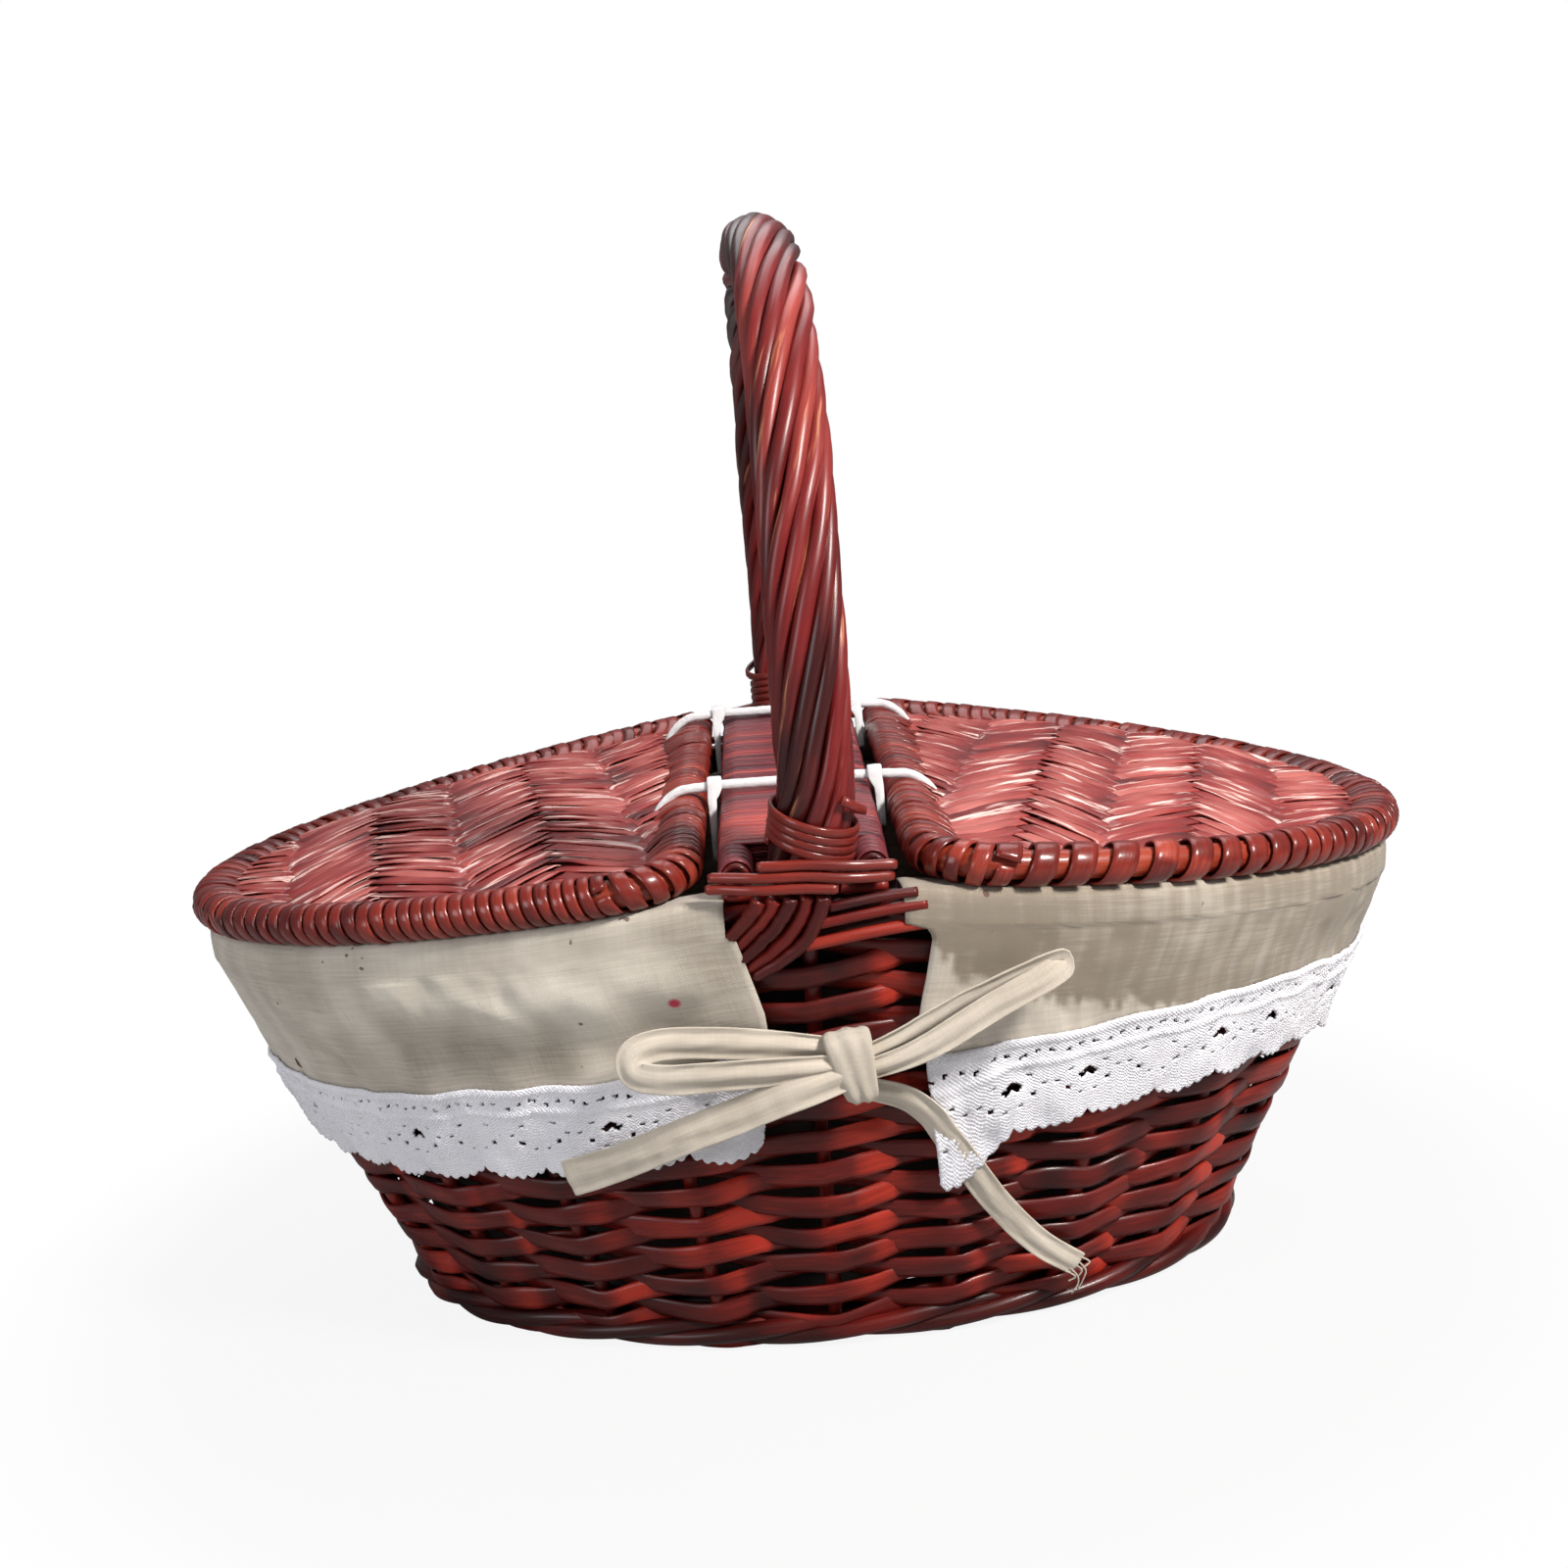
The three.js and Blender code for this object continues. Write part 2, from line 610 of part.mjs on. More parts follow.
add('bridge_winding', bridgeWinding(), bridgeStain);

// A lid's edge in the lid's own plane, x out from its straight edge: an oval arc, two round corners and
// the straight edge, moved inwards by an inset
const lidLength = rimLength + 2 * lidOverhang;
const lidWidth = rimWidth + 2 * lidOverhang;
function lidEdge(inset) {
  const length = lidLength / Math.cos(fall);
  const start = lidGap / 2 / Math.cos(fall);
  const oval = (angle, off) => {
    const plan = ovalPoint(length, lidWidth, angle, off);
    return new THREE.Vector2(plan.x - start, plan.y);
  };
  const arcEnd = (radius) => {
    let [near, far] = [0, Math.PI / 2];
    for (let i = 0; i < 40; i++) {
      const angle = (near + far) / 2;
      if (oval(angle, -radius).x > radius) near = angle;
      else far = angle;
    }
    return near;
  };
  const points = [];
  const arcSteps = 26;
  for (let i = 0; i <= arcSteps; i++) {
    const angle = THREE.MathUtils.lerp(-arcEnd(lidFrontCorner), arcEnd(lidBackCorner), i / arcSteps);
    points.push(oval(angle, -inset));
  }
  const cornerSteps = 5;
  const corner = (side, radius) => {
    const centre = oval(arcEnd(radius), -radius);
    const turn = oval(arcEnd(radius), 0).sub(centre).angle();
    return Array.from({ length: cornerSteps }, (_, i) => {
      const angle = turn + ((Math.PI - turn) * (i + 1)) / cornerSteps;
      const out = new THREE.Vector2(Math.cos(angle), Math.sin(angle)).multiplyScalar(radius - inset);
      return new THREE.Vector2(centre.x + out.x, side * (centre.y + out.y));
    });
  };
  return [...points, ...corner(1, lidBackCorner), ...corner(-1, lidFrontCorner).reverse()];
}

function lidHoop() {
  const inner = lidEdge(2 * bandRadius);
  const line = lidEdge(bandRadius);
  const rings = line.map((p, i) => {
    const inwards = inner[i].clone().sub(p).normalize();
    const across = new THREE.Vector3(inwards.x, inwards.y, 0);
    return circle(new THREE.Vector3(p.x, p.y, bandRadius), hoopRadius, 6, new THREE.Vector3(0, 0, 1), across);
  });
  return skin(rings, { closed: true });
}

// Places along a closed line of points, by distance, with the direction there
function alongLine(points) {
  const run = [0];
  const next = (i) => points[(i + 1) % points.length];
  points.forEach((p, i) => run.push(run[i] + p.distanceTo(next(i))));
  const total = run[points.length];
  return { total, at(distance) {
    const d = ((distance % total) + total) % total;
    const i = run.findIndex((length, k) => k > 0 && length >= d) - 1;
    const along = next(i).clone().sub(points[i]).normalize();
    return { point: points[i].clone().addScaledVector(along, d - run[i]), along };
  } };
}

// Flat cane wound round the hoop, one unbroken band that starts and ends on the straight edge
function lidWinding() {
  const line = alongLine(lidEdge(bandRadius));
  const steps = 6;
  const start = line.total - lidWidth / 3;
  const pitch = (line.total - 2 * lidBandWidth) / lidLoops;
  const inner = hoopRadius + lidBandClearance;
  const rings = [];
  for (let i = 0; i <= steps * lidLoops; i++) {
    const middle = start + (pitch * i) / steps;
    const ends = [-1, 1].map((side) => line.at(middle + (side * lidBandWidth) / 2));
    const turn = (2 * Math.PI * i) / steps;
    const corners = ends.map(({ point, along }) => (radius) => {
      const out = new THREE.Vector3(-along.y, along.x, 0).multiplyScalar(radius * Math.sin(turn));
      return new THREE.Vector3(point.x, point.y, bandRadius + radius * Math.cos(turn)).add(out);
    });
    const outer = inner + lidBandThickness;
    rings.push([corners[0](inner), corners[0](outer), corners[1](outer), corners[1](inner)]);
  }
  console.log(`lid winding: least gap to itself ${leastGap(rings, steps).toFixed(2)} mm`);
  return skin(rings);
}

// The woven panel, crowned a little, inside the winding, whose six sides leave it this much room
const panelInset = bandRadius * (1 + Math.cos(Math.PI / 6)) + 3 * clearance;
const panelTop = bandRadius + panelThickness / 2 + 1;
function lidPanel() {
  const edge = lidEdge(panelInset);
  const middle = new THREE.Vector2((lidLength - lidGap) / 4, 0);
  const level = (part, height) => edge.map((p) => {
    const plan = p.clone().lerp(middle, part);
    return new THREE.Vector3(plan.x, plan.y, height + panelCrown * (1 - (1 - part) ** 2));
  });
  const low = panelTop - panelThickness;
  const rings = [level(0.5, low), level(0, low), level(0, panelTop), level(0.5, panelTop)];
  const pole = (height) => new THREE.Vector3(middle.x, middle.y, height + panelCrown);
  return skin(rings, { start: pole(low), end: pole(panelTop) });
}

// The same shape seen in a mirror, left and right swapped, its faces still pointing out
function mirrored(geometry) {
  const swapped = geometry.clone().scale(-1, 1, 1);
  swapped.setIndex([...swapped.index.array].reverse());
  return swapped;
}

// Both lids, each in a group at its straight edge, sloped like the rim
for (const side of ['right', 'left']) {
  const hand = side === 'right' ? 1 : -1;
  const lid = new THREE.Group();
  lid.position.set((hand * lidGap) / 2, 0, lidSeat);
  lid.rotation.y = hand * fall;
  hamper.add(lid);
  for (const [name, geometry] of [['hoop', lidHoop()], ['winding', lidWinding()], ['panel', lidPanel()]]) {
    add(`lid_${side}_${name}`, hand > 0 ? geometry : mirrored(geometry), lidStain, lid);
  }
}

// Half of a hinge cord: from the lid's face over its edge and the gap to the middle of the bridge
function hingeCord(side, place) {
  const lidTop = (out, height) => {
    const x = lidGap / 2 + out * Math.cos(fall) + height * Math.sin(fall);
    return new THREE.Vector3(side * x, place, lidSeat - out * Math.sin(fall) + height * Math.cos(fall));
  };
  const over = cordRadius + 2 * clearance;
  const bridge = (x) => new THREE.Vector3(side * x, place, bridgeTop + over);
  const points = [bridge(clearance / 2), bridge(bridgeWidth / 2 - bridgeCorner),
    lidTop(bandRadius, 2 * bandRadius + over), lidTop(cordReach, panelTop + over + 1)];
  const curve = new THREE.CatmullRomCurve3(points, false, 'centripetal');
  const level = new THREE.Vector3(0, 1, 0);
  const rings = [];
  const steps = 9;
  for (let i = 0; i <= steps; i++) {
    const along = i ? curve.getTangentAt(i / steps) : new THREE.Vector3(side, 0, 0);
    const up = new THREE.Vector3().crossVectors(along, level).normalize();
    rings.push(circle(curve.getPointAt(i / steps), cordRadius, 6, level, up));
  }
  return skin(rings);
}

// Flat tie in the gap, from the cord down the side of the bridge
function hingeTie(side, place) {
  const tie = new THREE.BoxGeometry(tieWidth, tieThickness, tieLength);
  return tie.translate(side * hingePlace, place, bridgeTop + clearance - tieLength / 2);
}
for (const [end, place] of [['front', frontCordInset - bridgeEnd], ['back', bridgeEnd - backCordInset]]) {
  for (const [hand, side] of [['left', -1], ['right', 1]]) {
    add(`hinge_cord_${end}_${hand}`, hingeCord(side, place), cordWhite);
    add(`hinge_tie_${end}_${hand}`, hingeTie(side, place), cordWhite);
  }
}

// The liner inside the basket: a bag that follows the wall and lies on the base
const lining = rimBreadth / 2 + liningClearance;
function linerBag() {
  const ring = (share, off) => wallAngles.map((angle) => wallPoint(angle, share, -off));
  const flat = (height, off) => wallAngles.map((angle) => {
    const plan = ovalPoint(footLength, footWidth, angle, -off);
    return new THREE.Vector3(plan.x, plan.y, height);
  });
  const bottom = baseTop + 2 * clearance;
  const inside = lining + linenThickness;
  const top = 1 - 2 * clearance / wallHeight;
  const low = (thick) => (linerRound + thick) / wallHeight;
  const outer = [flat(bottom, lining + linerRound), ring(low(0), lining), ring(top, lining)];
  const inner = [ring(top, inside), ring(low(linenThickness), inside),
    flat(bottom + linenThickness, inside + linerRound)];
  const pole = (height) => new THREE.Vector3(0, 0, height);
  return skin([...outer, ...inner], { start: pole(bottom), end: pole(bottom + linenThickness) });
}
add('liner_bag', linerBag(), linen);

// Where a cuff or its lace hangs: along 0 to 1 from its front edge to its back edge, at a drop below the rim.
// Its folds deepen towards the hem. The hem's corner swings in at the front on one cuff, and at the back on
// the other, which is the same cuff turned half round.
function cuffAngle(along, drop) {
  const part = THREE.MathUtils.clamp((drop - rimThickness) / (cuffDrop - rimThickness), 0, 1);
  const front = THREE.MathUtils.lerp(cuffStart, cuffOverlap, part);
  const from = -Math.acos((-2 * front) / rimLength);
  const to = -Math.acos((-2 * cuffStart) / rimLength);
  return THREE.MathUtils.lerp(from, -2 * Math.PI - to, along);
}
function cuffPoint(along, drop, off) {
  const angle = cuffAngle(along, drop);
  const below = Math.max(drop - rimThickness, 0) / wallHeight;
  const swell = Math.min(drop / cuffDrop, 1);
  const wave = 0.5 - 0.5 * Math.cos(2 * Math.PI * foldCount * along);
  const point = wallPoint(angle, 1 - below, off + foldDepth * swell * wave);
  if (drop < rimThickness) point.z = rimPlane(point.x) - drop;
  return point;
}
const outside = wallOff + 2 * clearance;

function linerCuff() {
  const steps = 32;
  const rings = [];
  for (let i = 0; i <= steps; i++) {
    const along = i / steps;
    const angle = cuffAngle(along, 0);
    const over = (off, height) => {
      const plan = ovalPoint(rimLength, rimWidth, angle, off);
      return new THREE.Vector3(plan.x, plan.y, rimPlane(plan.x) + height);
    };
    const layer = (grow) => [over(-lining - grow, -rimThickness), over(-lining - grow, clearance + grow),
      over(outside + grow, clearance + grow)];
    const near = layer(0);
    const far = layer(linenThickness);
    for (const drop of [rimThickness, (cuffDrop + rimThickness) / 2, cuffDrop]) {
      near.push(cuffPoint(along, drop, outside));
      far.push(cuffPoint(along, drop, outside + linenThickness));
    }
    rings.push([...near, ...far.reverse()]);
  }
  return skin(rings);
}
bothSides((side) => `liner_cuff_${side}`, linerCuff(), linen, ['left', 'right']);

// Crochet lace sewn under the cuff's hem, its edge in scallops
function cuffLace() {
  const steps = 36;
  const rings = [];
  for (let i = 0; i <= steps; i++) {
    const along = i / steps;
    const scallop = scallopDepth * Math.abs(Math.sin(Math.PI * scallopCount * along));
    const depths = [cuffDrop + clearance, cuffDrop + laceDepth - scallopDepth + scallop];
    const near = depths.map((drop) => cuffPoint(along, drop, outside));
    const far = depths.map((drop) => cuffPoint(along, drop, outside + laceThickness));
    rings.push([...near, ...far.reverse()]);
  }
  return skin(rings);
}
bothSides((side) => `cuff_lace_${side}`, cuffLace(), crochet, ['left', 'right']);

// A strip of ribbon on the front of the wall: it leaves a place in one direction, and its line is given as
// pairs of the distance gone that way and the distance off the wall
function ribbonStrip(x, height, angle, line, steps) {
  const turn = THREE.MathUtils.degToRad(angle);
  const points = line.map(([gone, off]) => new THREE.Vector3(gone, off, 0));
  const curve = new THREE.CatmullRomCurve3(points, false, 'centripetal');
  const rings = [];
  for (let i = 0; i <= steps; i++) {
    const middle = curve.getPointAt(i / steps);
    const along = curve.getTangentAt(i / steps);
    const corner = (across, through) => {
      const gone = middle.x - (along.y * through * ribbonThickness) / 2;
      const off = middle.y + (along.x * through * ribbonThickness) / 2;
      const side = (across * ribbonWidth) / 2;
      const sideways = gone * Math.cos(turn) - side * Math.sin(turn);
      const upwards = gone * Math.sin(turn) + side * Math.cos(turn);
      return frontPoint(x + sideways, height + upwards, off);
    };
    rings.push([corner(-1, -1), corner(-1, 1), corner(1, 1), corner(1, -1)]);
  }
  return solid(skin(rings));
}

// The bow lies on the lace: each side is a loop that comes back to the knot, and a tail
const bowOff = outside + foldDepth + linenThickness + laceThickness;
const knotOff = bowOff + ribbonThickness;
function bowSide(loopAngle, loopReach, tailAngle, tailReach) {
  const side = Math.abs(loopAngle) > 90 ? -1 : 1;
  const near = knotPlace + side * (knotWidth / 4);
  const loop = [[0, -0.2], [0.3, 0.1], [0.92, 0.2], [1, 0.6], [0.92, 1], [0.3, 0.8],
    [0, 0.4]].map(([part, lift]) => [loopReach * part, bowOff + loopPuff * lift]);
  const tail = [[0, -1], [0.2, 0], [0.6, 0], [1, 0]].map(([part, lift]) => {
    return [tailReach * part, bowOff + ribbonThickness * lift];
  });
  const parts = [ribbonStrip(near, knotHeightAbove, loopAngle, loop, 14),
    ribbonStrip(near, knotHeightAbove - ribbonWidth / 5, tailAngle, tail, 6)];
  return geometryOf(parts[0].add(parts[1]).subtract(solid(bowKnot(3 * clearance))));
}
function bowKnot(grow = 0) {
  const ball = new THREE.SphereGeometry(0.5, 8, 6);
  ball.scale(knotWidth + grow, knotDepth + grow, knotHeight + grow);
  const centre = frontPoint(knotPlace, knotHeightAbove, knotOff);
  return ball.translate(centre.x, centre.y, centre.z);
}
bothSides((side) => `bow_knot_${side}`, bowKnot(), ribbonSilk);
bothSides((side) => `bow_ribbon_left_${side}`, bowSide(172, leftLoopReach, 202, leftTailReach), ribbonSilk);
bothSides((side) => `bow_ribbon_right_${side}`, bowSide(26, rightLoopReach, -55, rightTailReach), ribbonSilk);

export default hamper;
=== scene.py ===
# %% [markdown]
# # A wicker picnic hamper
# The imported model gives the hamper's bodies, hinges and sizes. This lesson dresses it: each cane, reed, cord
# and cloth is a surface worked out with numpy from a few sizes, so a wall of weaving is a formula and not a
# thousand hand-made strips.

# %% Frame and units
import json
import math

import bpy
import numpy as np
from mathutils import Matrix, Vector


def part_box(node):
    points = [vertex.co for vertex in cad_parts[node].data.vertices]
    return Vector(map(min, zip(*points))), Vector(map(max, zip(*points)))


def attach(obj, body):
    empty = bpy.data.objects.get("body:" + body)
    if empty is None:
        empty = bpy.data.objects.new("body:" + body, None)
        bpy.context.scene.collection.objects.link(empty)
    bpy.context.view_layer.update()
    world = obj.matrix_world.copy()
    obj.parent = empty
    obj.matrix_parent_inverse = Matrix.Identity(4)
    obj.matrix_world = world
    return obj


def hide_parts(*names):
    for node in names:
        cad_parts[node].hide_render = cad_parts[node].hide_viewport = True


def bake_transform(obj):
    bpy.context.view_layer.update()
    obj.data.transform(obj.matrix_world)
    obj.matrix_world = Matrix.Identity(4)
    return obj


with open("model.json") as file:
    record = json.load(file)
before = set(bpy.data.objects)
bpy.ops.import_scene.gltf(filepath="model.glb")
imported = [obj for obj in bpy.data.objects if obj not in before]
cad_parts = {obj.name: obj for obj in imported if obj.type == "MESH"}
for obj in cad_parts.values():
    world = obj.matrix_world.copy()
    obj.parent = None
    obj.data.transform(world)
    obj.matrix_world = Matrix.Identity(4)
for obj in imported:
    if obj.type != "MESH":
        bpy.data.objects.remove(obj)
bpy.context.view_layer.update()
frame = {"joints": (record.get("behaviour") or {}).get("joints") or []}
scene = bpy.context.scene
scene.view_settings.view_transform = "Standard"
MM = 0.001
upwards, frontwards = (0, 0, 1.0), (0, -1.0, 0)


def corners(node):
    """The lowest and highest corner of a CAD node, as arrays in metres."""
    low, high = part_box(node)
    return np.array(low), np.array(high)


def add_object(name, data):
    """An object of the scene that holds this mesh, lamp or lens."""
    made = bpy.data.objects.new(name, data)
    scene.collection.objects.link(made)
    return made


def stand(made, axes, place):
    """Puts an object at a place. Its right, up and back are the first three columns of its matrix."""
    rows = [[*row, p] for row, p in zip(np.stack(axes, 1), place)]
    made.matrix_world = Matrix([*rows, [0, 0, 0, 1]])


# %% [markdown]
# The camera comes first. It stands a little to the left of the front and looks down by 12 degrees, with a
# slight roll, as the photograph was taken. Its place follows from three angles and a distance, and the lens
# from the focal length counted in pixels of the 1600 pixel frame.

# %% Camera
picture_size = 1600
focal_pixels = 2269.7
centre_pixel = (855.6, 801.7)
turned, raised, rolled = (math.radians(a) for a in (-1.59, 12.29, -4.04))
aimed_at = np.array([14.8, 0, 159.6]) * MM
camera_distance = 747.5 * MM


def camera_axes():
    """Right, up and back of the camera: a turn about the vertical, a rise, then a roll about its own axis."""
    away = math.cos(raised)
    back = np.array([math.sin(turned) * away, -math.cos(turned) * away, math.sin(raised)])
    level = np.array([math.cos(turned), math.sin(turned), 0])
    upright = np.cross(back, level)
    right = level * math.cos(rolled) + upright * math.sin(rolled)
    up = upright * math.cos(rolled) - level * math.sin(rolled)
    return right, up, back


def make_camera():
    """A lens whose shift puts its axis at the centre pixel, backed off from what it is aimed at."""
    lens = bpy.data.cameras.new("camera")
    lens.sensor_width = 36
    lens.lens = focal_pixels / picture_size * lens.sensor_width
    lens.shift_x = (picture_size / 2 - centre_pixel[0]) / picture_size
    lens.shift_y = (centre_pixel[1] - picture_size / 2) / picture_size
    lens.clip_start, lens.clip_end = 0.01, 50
    camera = add_object("camera", lens)
    axes = camera_axes()
    stand(camera, axes, aimed_at + axes[2] * camera_distance)
    scene.camera = camera
    return camera


camera = make_camera()
print("camera at", [round(v, 3) for v in camera.matrix_world.translation])

# %% [markdown]
# The hamper's wall is made of straight lines from an oval foot to an oval rim, and the rim falls away under
# each lid. Every piece of the body sits on that wall, so its sizes come first. The rim's and the foot's
# lengths are read from the CAD, and the rest are the sizes of the canes.

# %% Sizes of the body
clearance = 0.3 * MM
rim_breadth, rim_thickness = 11 * MM, 9 * MM
foot_breadth, foot_thickness = 12 * MM, 9 * MM
saddle_rise = 3.3 * MM
rim_high = corners("rim_border")[1]
base_low, base_high = corners("base_weave")
rim_half = rim_high[:2] - rim_breadth / 2
foot_half = base_high[:2] + foot_breadth / 2 + clearance
rim_height = rim_high[2] - saddle_rise
wall_height = rim_height - rim_thickness - foot_thickness
lid_gap = 57.2 * MM
lid_fall = math.radians(7.4)
stake_count = 20
stake_radius = 2.4 * MM
print("rim and foot half lengths, mm:", (rim_half / MM).round(1), (foot_half / MM).round(1))


def xyz(x, y, z):
    """Points from their three numbers, each an array or one number for all."""
    return np.stack(np.broadcast_arrays(x, y, z), -1)


def oval(half, angle, off=0.0):
    """Points of an ellipse with these half lengths at an angle, moved out along its normal, which points along
    (x over half length squared, y over half width squared)."""
    x, y = half[0] * np.cos(angle), half[1] * np.sin(angle)
    across, along = x / half[0] ** 2, y / half[1] ** 2
    size = np.hypot(across, along)
    return x + off * across / size, y + off * along / size


def rim_plane(x):
    """Height of the rim's top: level beside the bridge, then falling by the lids' slope."""
    return rim_height - math.tan(lid_fall) * np.maximum(np.abs(x) - lid_gap / 2, 0)


def wall_half(share):
    """The wall's half lengths, share 0 to 1 from the foot's to the rim's."""
    return [foot_half[k] + (rim_half[k] - foot_half[k]) * share for k in range(2)]


def wall(angle, share, off=0.0):
    """Points of the wall: share 0 to 1 runs from the foot to the rim on a straight line."""
    x, y = oval(wall_half(share), angle, off)
    top = rim_plane(rim_half[0] * np.cos(angle)) - rim_thickness
    return xyz(x, y, foot_thickness + (top - foot_thickness) * share)


def wall_angle(place):
    """Angle on the oval of a place counted in stakes from the front, evenly spaced round its middle height."""
    angles = np.linspace(-np.pi / 2, 3 * np.pi / 2, 3601)
    x, y = oval((rim_half + foot_half) / 2, angles)
    run = np.concatenate([[0], np.cumsum(np.hypot(np.diff(x), np.diff(y)))])
    turns, part = np.divmod(place / stake_count, 1)
    return np.interp(part * run[-1], run, angles) + 2 * np.pi * turns


# %% [markdown]
# Every cane, rod and cord is a section carried along a path. The section has two directions at each station
# of the path, both square to it. Some functions give the paths, some the sections, and some the unevenness
# that keeps a hundred equal strips from looking equal.

# %% Paths and sections


def unit(vectors):
    """Vectors over their own length."""
    return vectors / np.maximum(np.linalg.norm(vectors, axis=-1, keepdims=True), 1e-12)


def run_along(path):
    """Distance from the start at each point: the running sum of the steps."""
    return np.concatenate([[0], np.cumsum(np.linalg.norm(np.diff(path, axis=0), axis=1))])


def even(path, count, ring=False):
    """The path again, with its points the same distance apart."""
    if ring:
        path = np.concatenate([path, path[:1]])
    run = run_along(path)
    at = np.linspace(0, run[-1], count + 1)[:-1] if ring else np.linspace(0, run[-1], count)
    return np.stack([np.interp(at, run, path[:, k]) for k in range(path.shape[1])], -1)


def smooth_path(knots, count):
    """A smooth line through given knots: Catmull-Rom cubics between them, then evened out."""
    knots = np.array(knots, float)
    padded = np.concatenate([2 * knots[:1] - knots[1:2], knots, 2 * knots[-1:] - knots[-2:-1]])
    t = np.linspace(0, 1, 24, endpoint=False)[:, None]
    runs = []
    for a, b, c, d in zip(padded, padded[1:], padded[2:], padded[3:]):
        square, cube = 2 * a - 5 * b + 4 * c - d, 3 * b - a - 3 * c + d
        runs.append(0.5 * (2 * b + (c - a) * t + square * t**2 + cube * t**3))
    return even(np.concatenate([*runs, knots[-1:]]), count)


def directions(path, hint, ring=False):
    """Two directions square to a path: the cross product of the hint and the path's own direction, and the one
    nearest to the hint."""
    ahead = np.roll(path, -1, 0) - np.roll(path, 1, 0) if ring else np.gradient(path, axis=0)
    along = unit(ahead)
    side = unit(np.cross(np.broadcast_to(hint, path.shape), along))
    return side, np.cross(along, side)


def tilted(side, up, angle):
    """The two directions turned about the path: each times the cosine, with the other times the sine."""
    cosine, sine = np.cos(angle)[:, None], np.sin(angle)[:, None]
    return side * cosine + up * sine, up * cosine - side * sine


def sweep(path, side, up, section):
    """Each station's section: path + side times its first number + up times its second. A section that would
    run the wrong way round is turned, so that faces point outwards."""
    middle = len(path) // 2
    ahead = path[middle] - path[middle - 1]
    if np.dot(np.cross(side[middle], up[middle]), ahead) < 0:
        section = section[..., ::-1, :]
    section = np.broadcast_to(section, (len(path), *section.shape[-2:]))
    return path[:, None] + side[:, None] * section[..., :1] + up[:, None] * section[..., 1:]


def turned_round(points, side):
    """The front's points, or the same turned half round for the back."""
    return points if side < 0 else points * (-1, -1, 1)


def round_section(radius, sides=8):
    """Points of a circle."""
    turn = 2 * np.pi * np.arange(sides) / sides
    return np.stack([np.cos(turn), np.sin(turn)], -1) * radius


def flat_section(width, thick, sides=8, square=0.6):
    """A flat cane's section: a circle whose first number is raised to a power below 1, so that its sides are
    nearly straight, then stretched to the cane's width and thickness."""
    turn = 2 * np.pi * (np.arange(sides) + 0.5) / sides
    across, through = np.cos(turn), np.sin(turn)
    across = np.sign(across) * np.abs(across) ** square
    return np.stack([across * width / 2, through * thick / 2], -1)


def stretched_section(section, width):
    """One section for each station: its first number times that station's width."""
    across = section[None, :, 0] * width[:, None]
    return np.stack([across, np.broadcast_to(section[None, :, 1], across.shape)], -1)


def drift(places, seed, length, waves=4):
    """Smooth random numbers from about -1 to 1: a sum of sines with seeded lengths and phases."""
    random = np.random.default_rng(seed)
    total = np.zeros(np.shape(places))
    for wave in range(1, waves + 1):
        phase = places / length * wave * random.uniform(0.7, 1.3) + random.uniform()
        total = total + np.sin(2 * np.pi * phase) / wave**0.5
    return total / waves**0.5


def ring_drift(share, seed, waves=6):
    """The same on a closed ring, where share goes from 0 to 1 once round."""
    random = np.random.default_rng(seed)
    total = sum(np.sin(2 * np.pi * (k * share + random.uniform())) for k in random.integers(1, 3 * waves, waves))
    return total / waves**0.5


def rise(value, start, end):
    """0 at the start and before, 1 at the end and after, straight between. The end may be the lower number."""
    return np.clip((value - start) / (end - start), 0, 1)


def bell(value, centre, width, power=2):
    """1 at the centre: e to minus the distance over the width, raised to a power that sets how flat it is."""
    return np.exp(-(((value - centre) / width) ** power))


print("first corners of a stake's section, mm:", (round_section(stake_radius)[:2] / MM).round(2).tolist())

# %% [markdown]
# Shapes are gathered in one mesh with a UV map, where u is the distance run in metres and v the way round the
# section, and with a tone, a number for each cane that its stain reads. Each piece rides on a body of the
# imported model and takes the place of its CAD nodes.

# %% Gathering a piece
pieces_made = {}


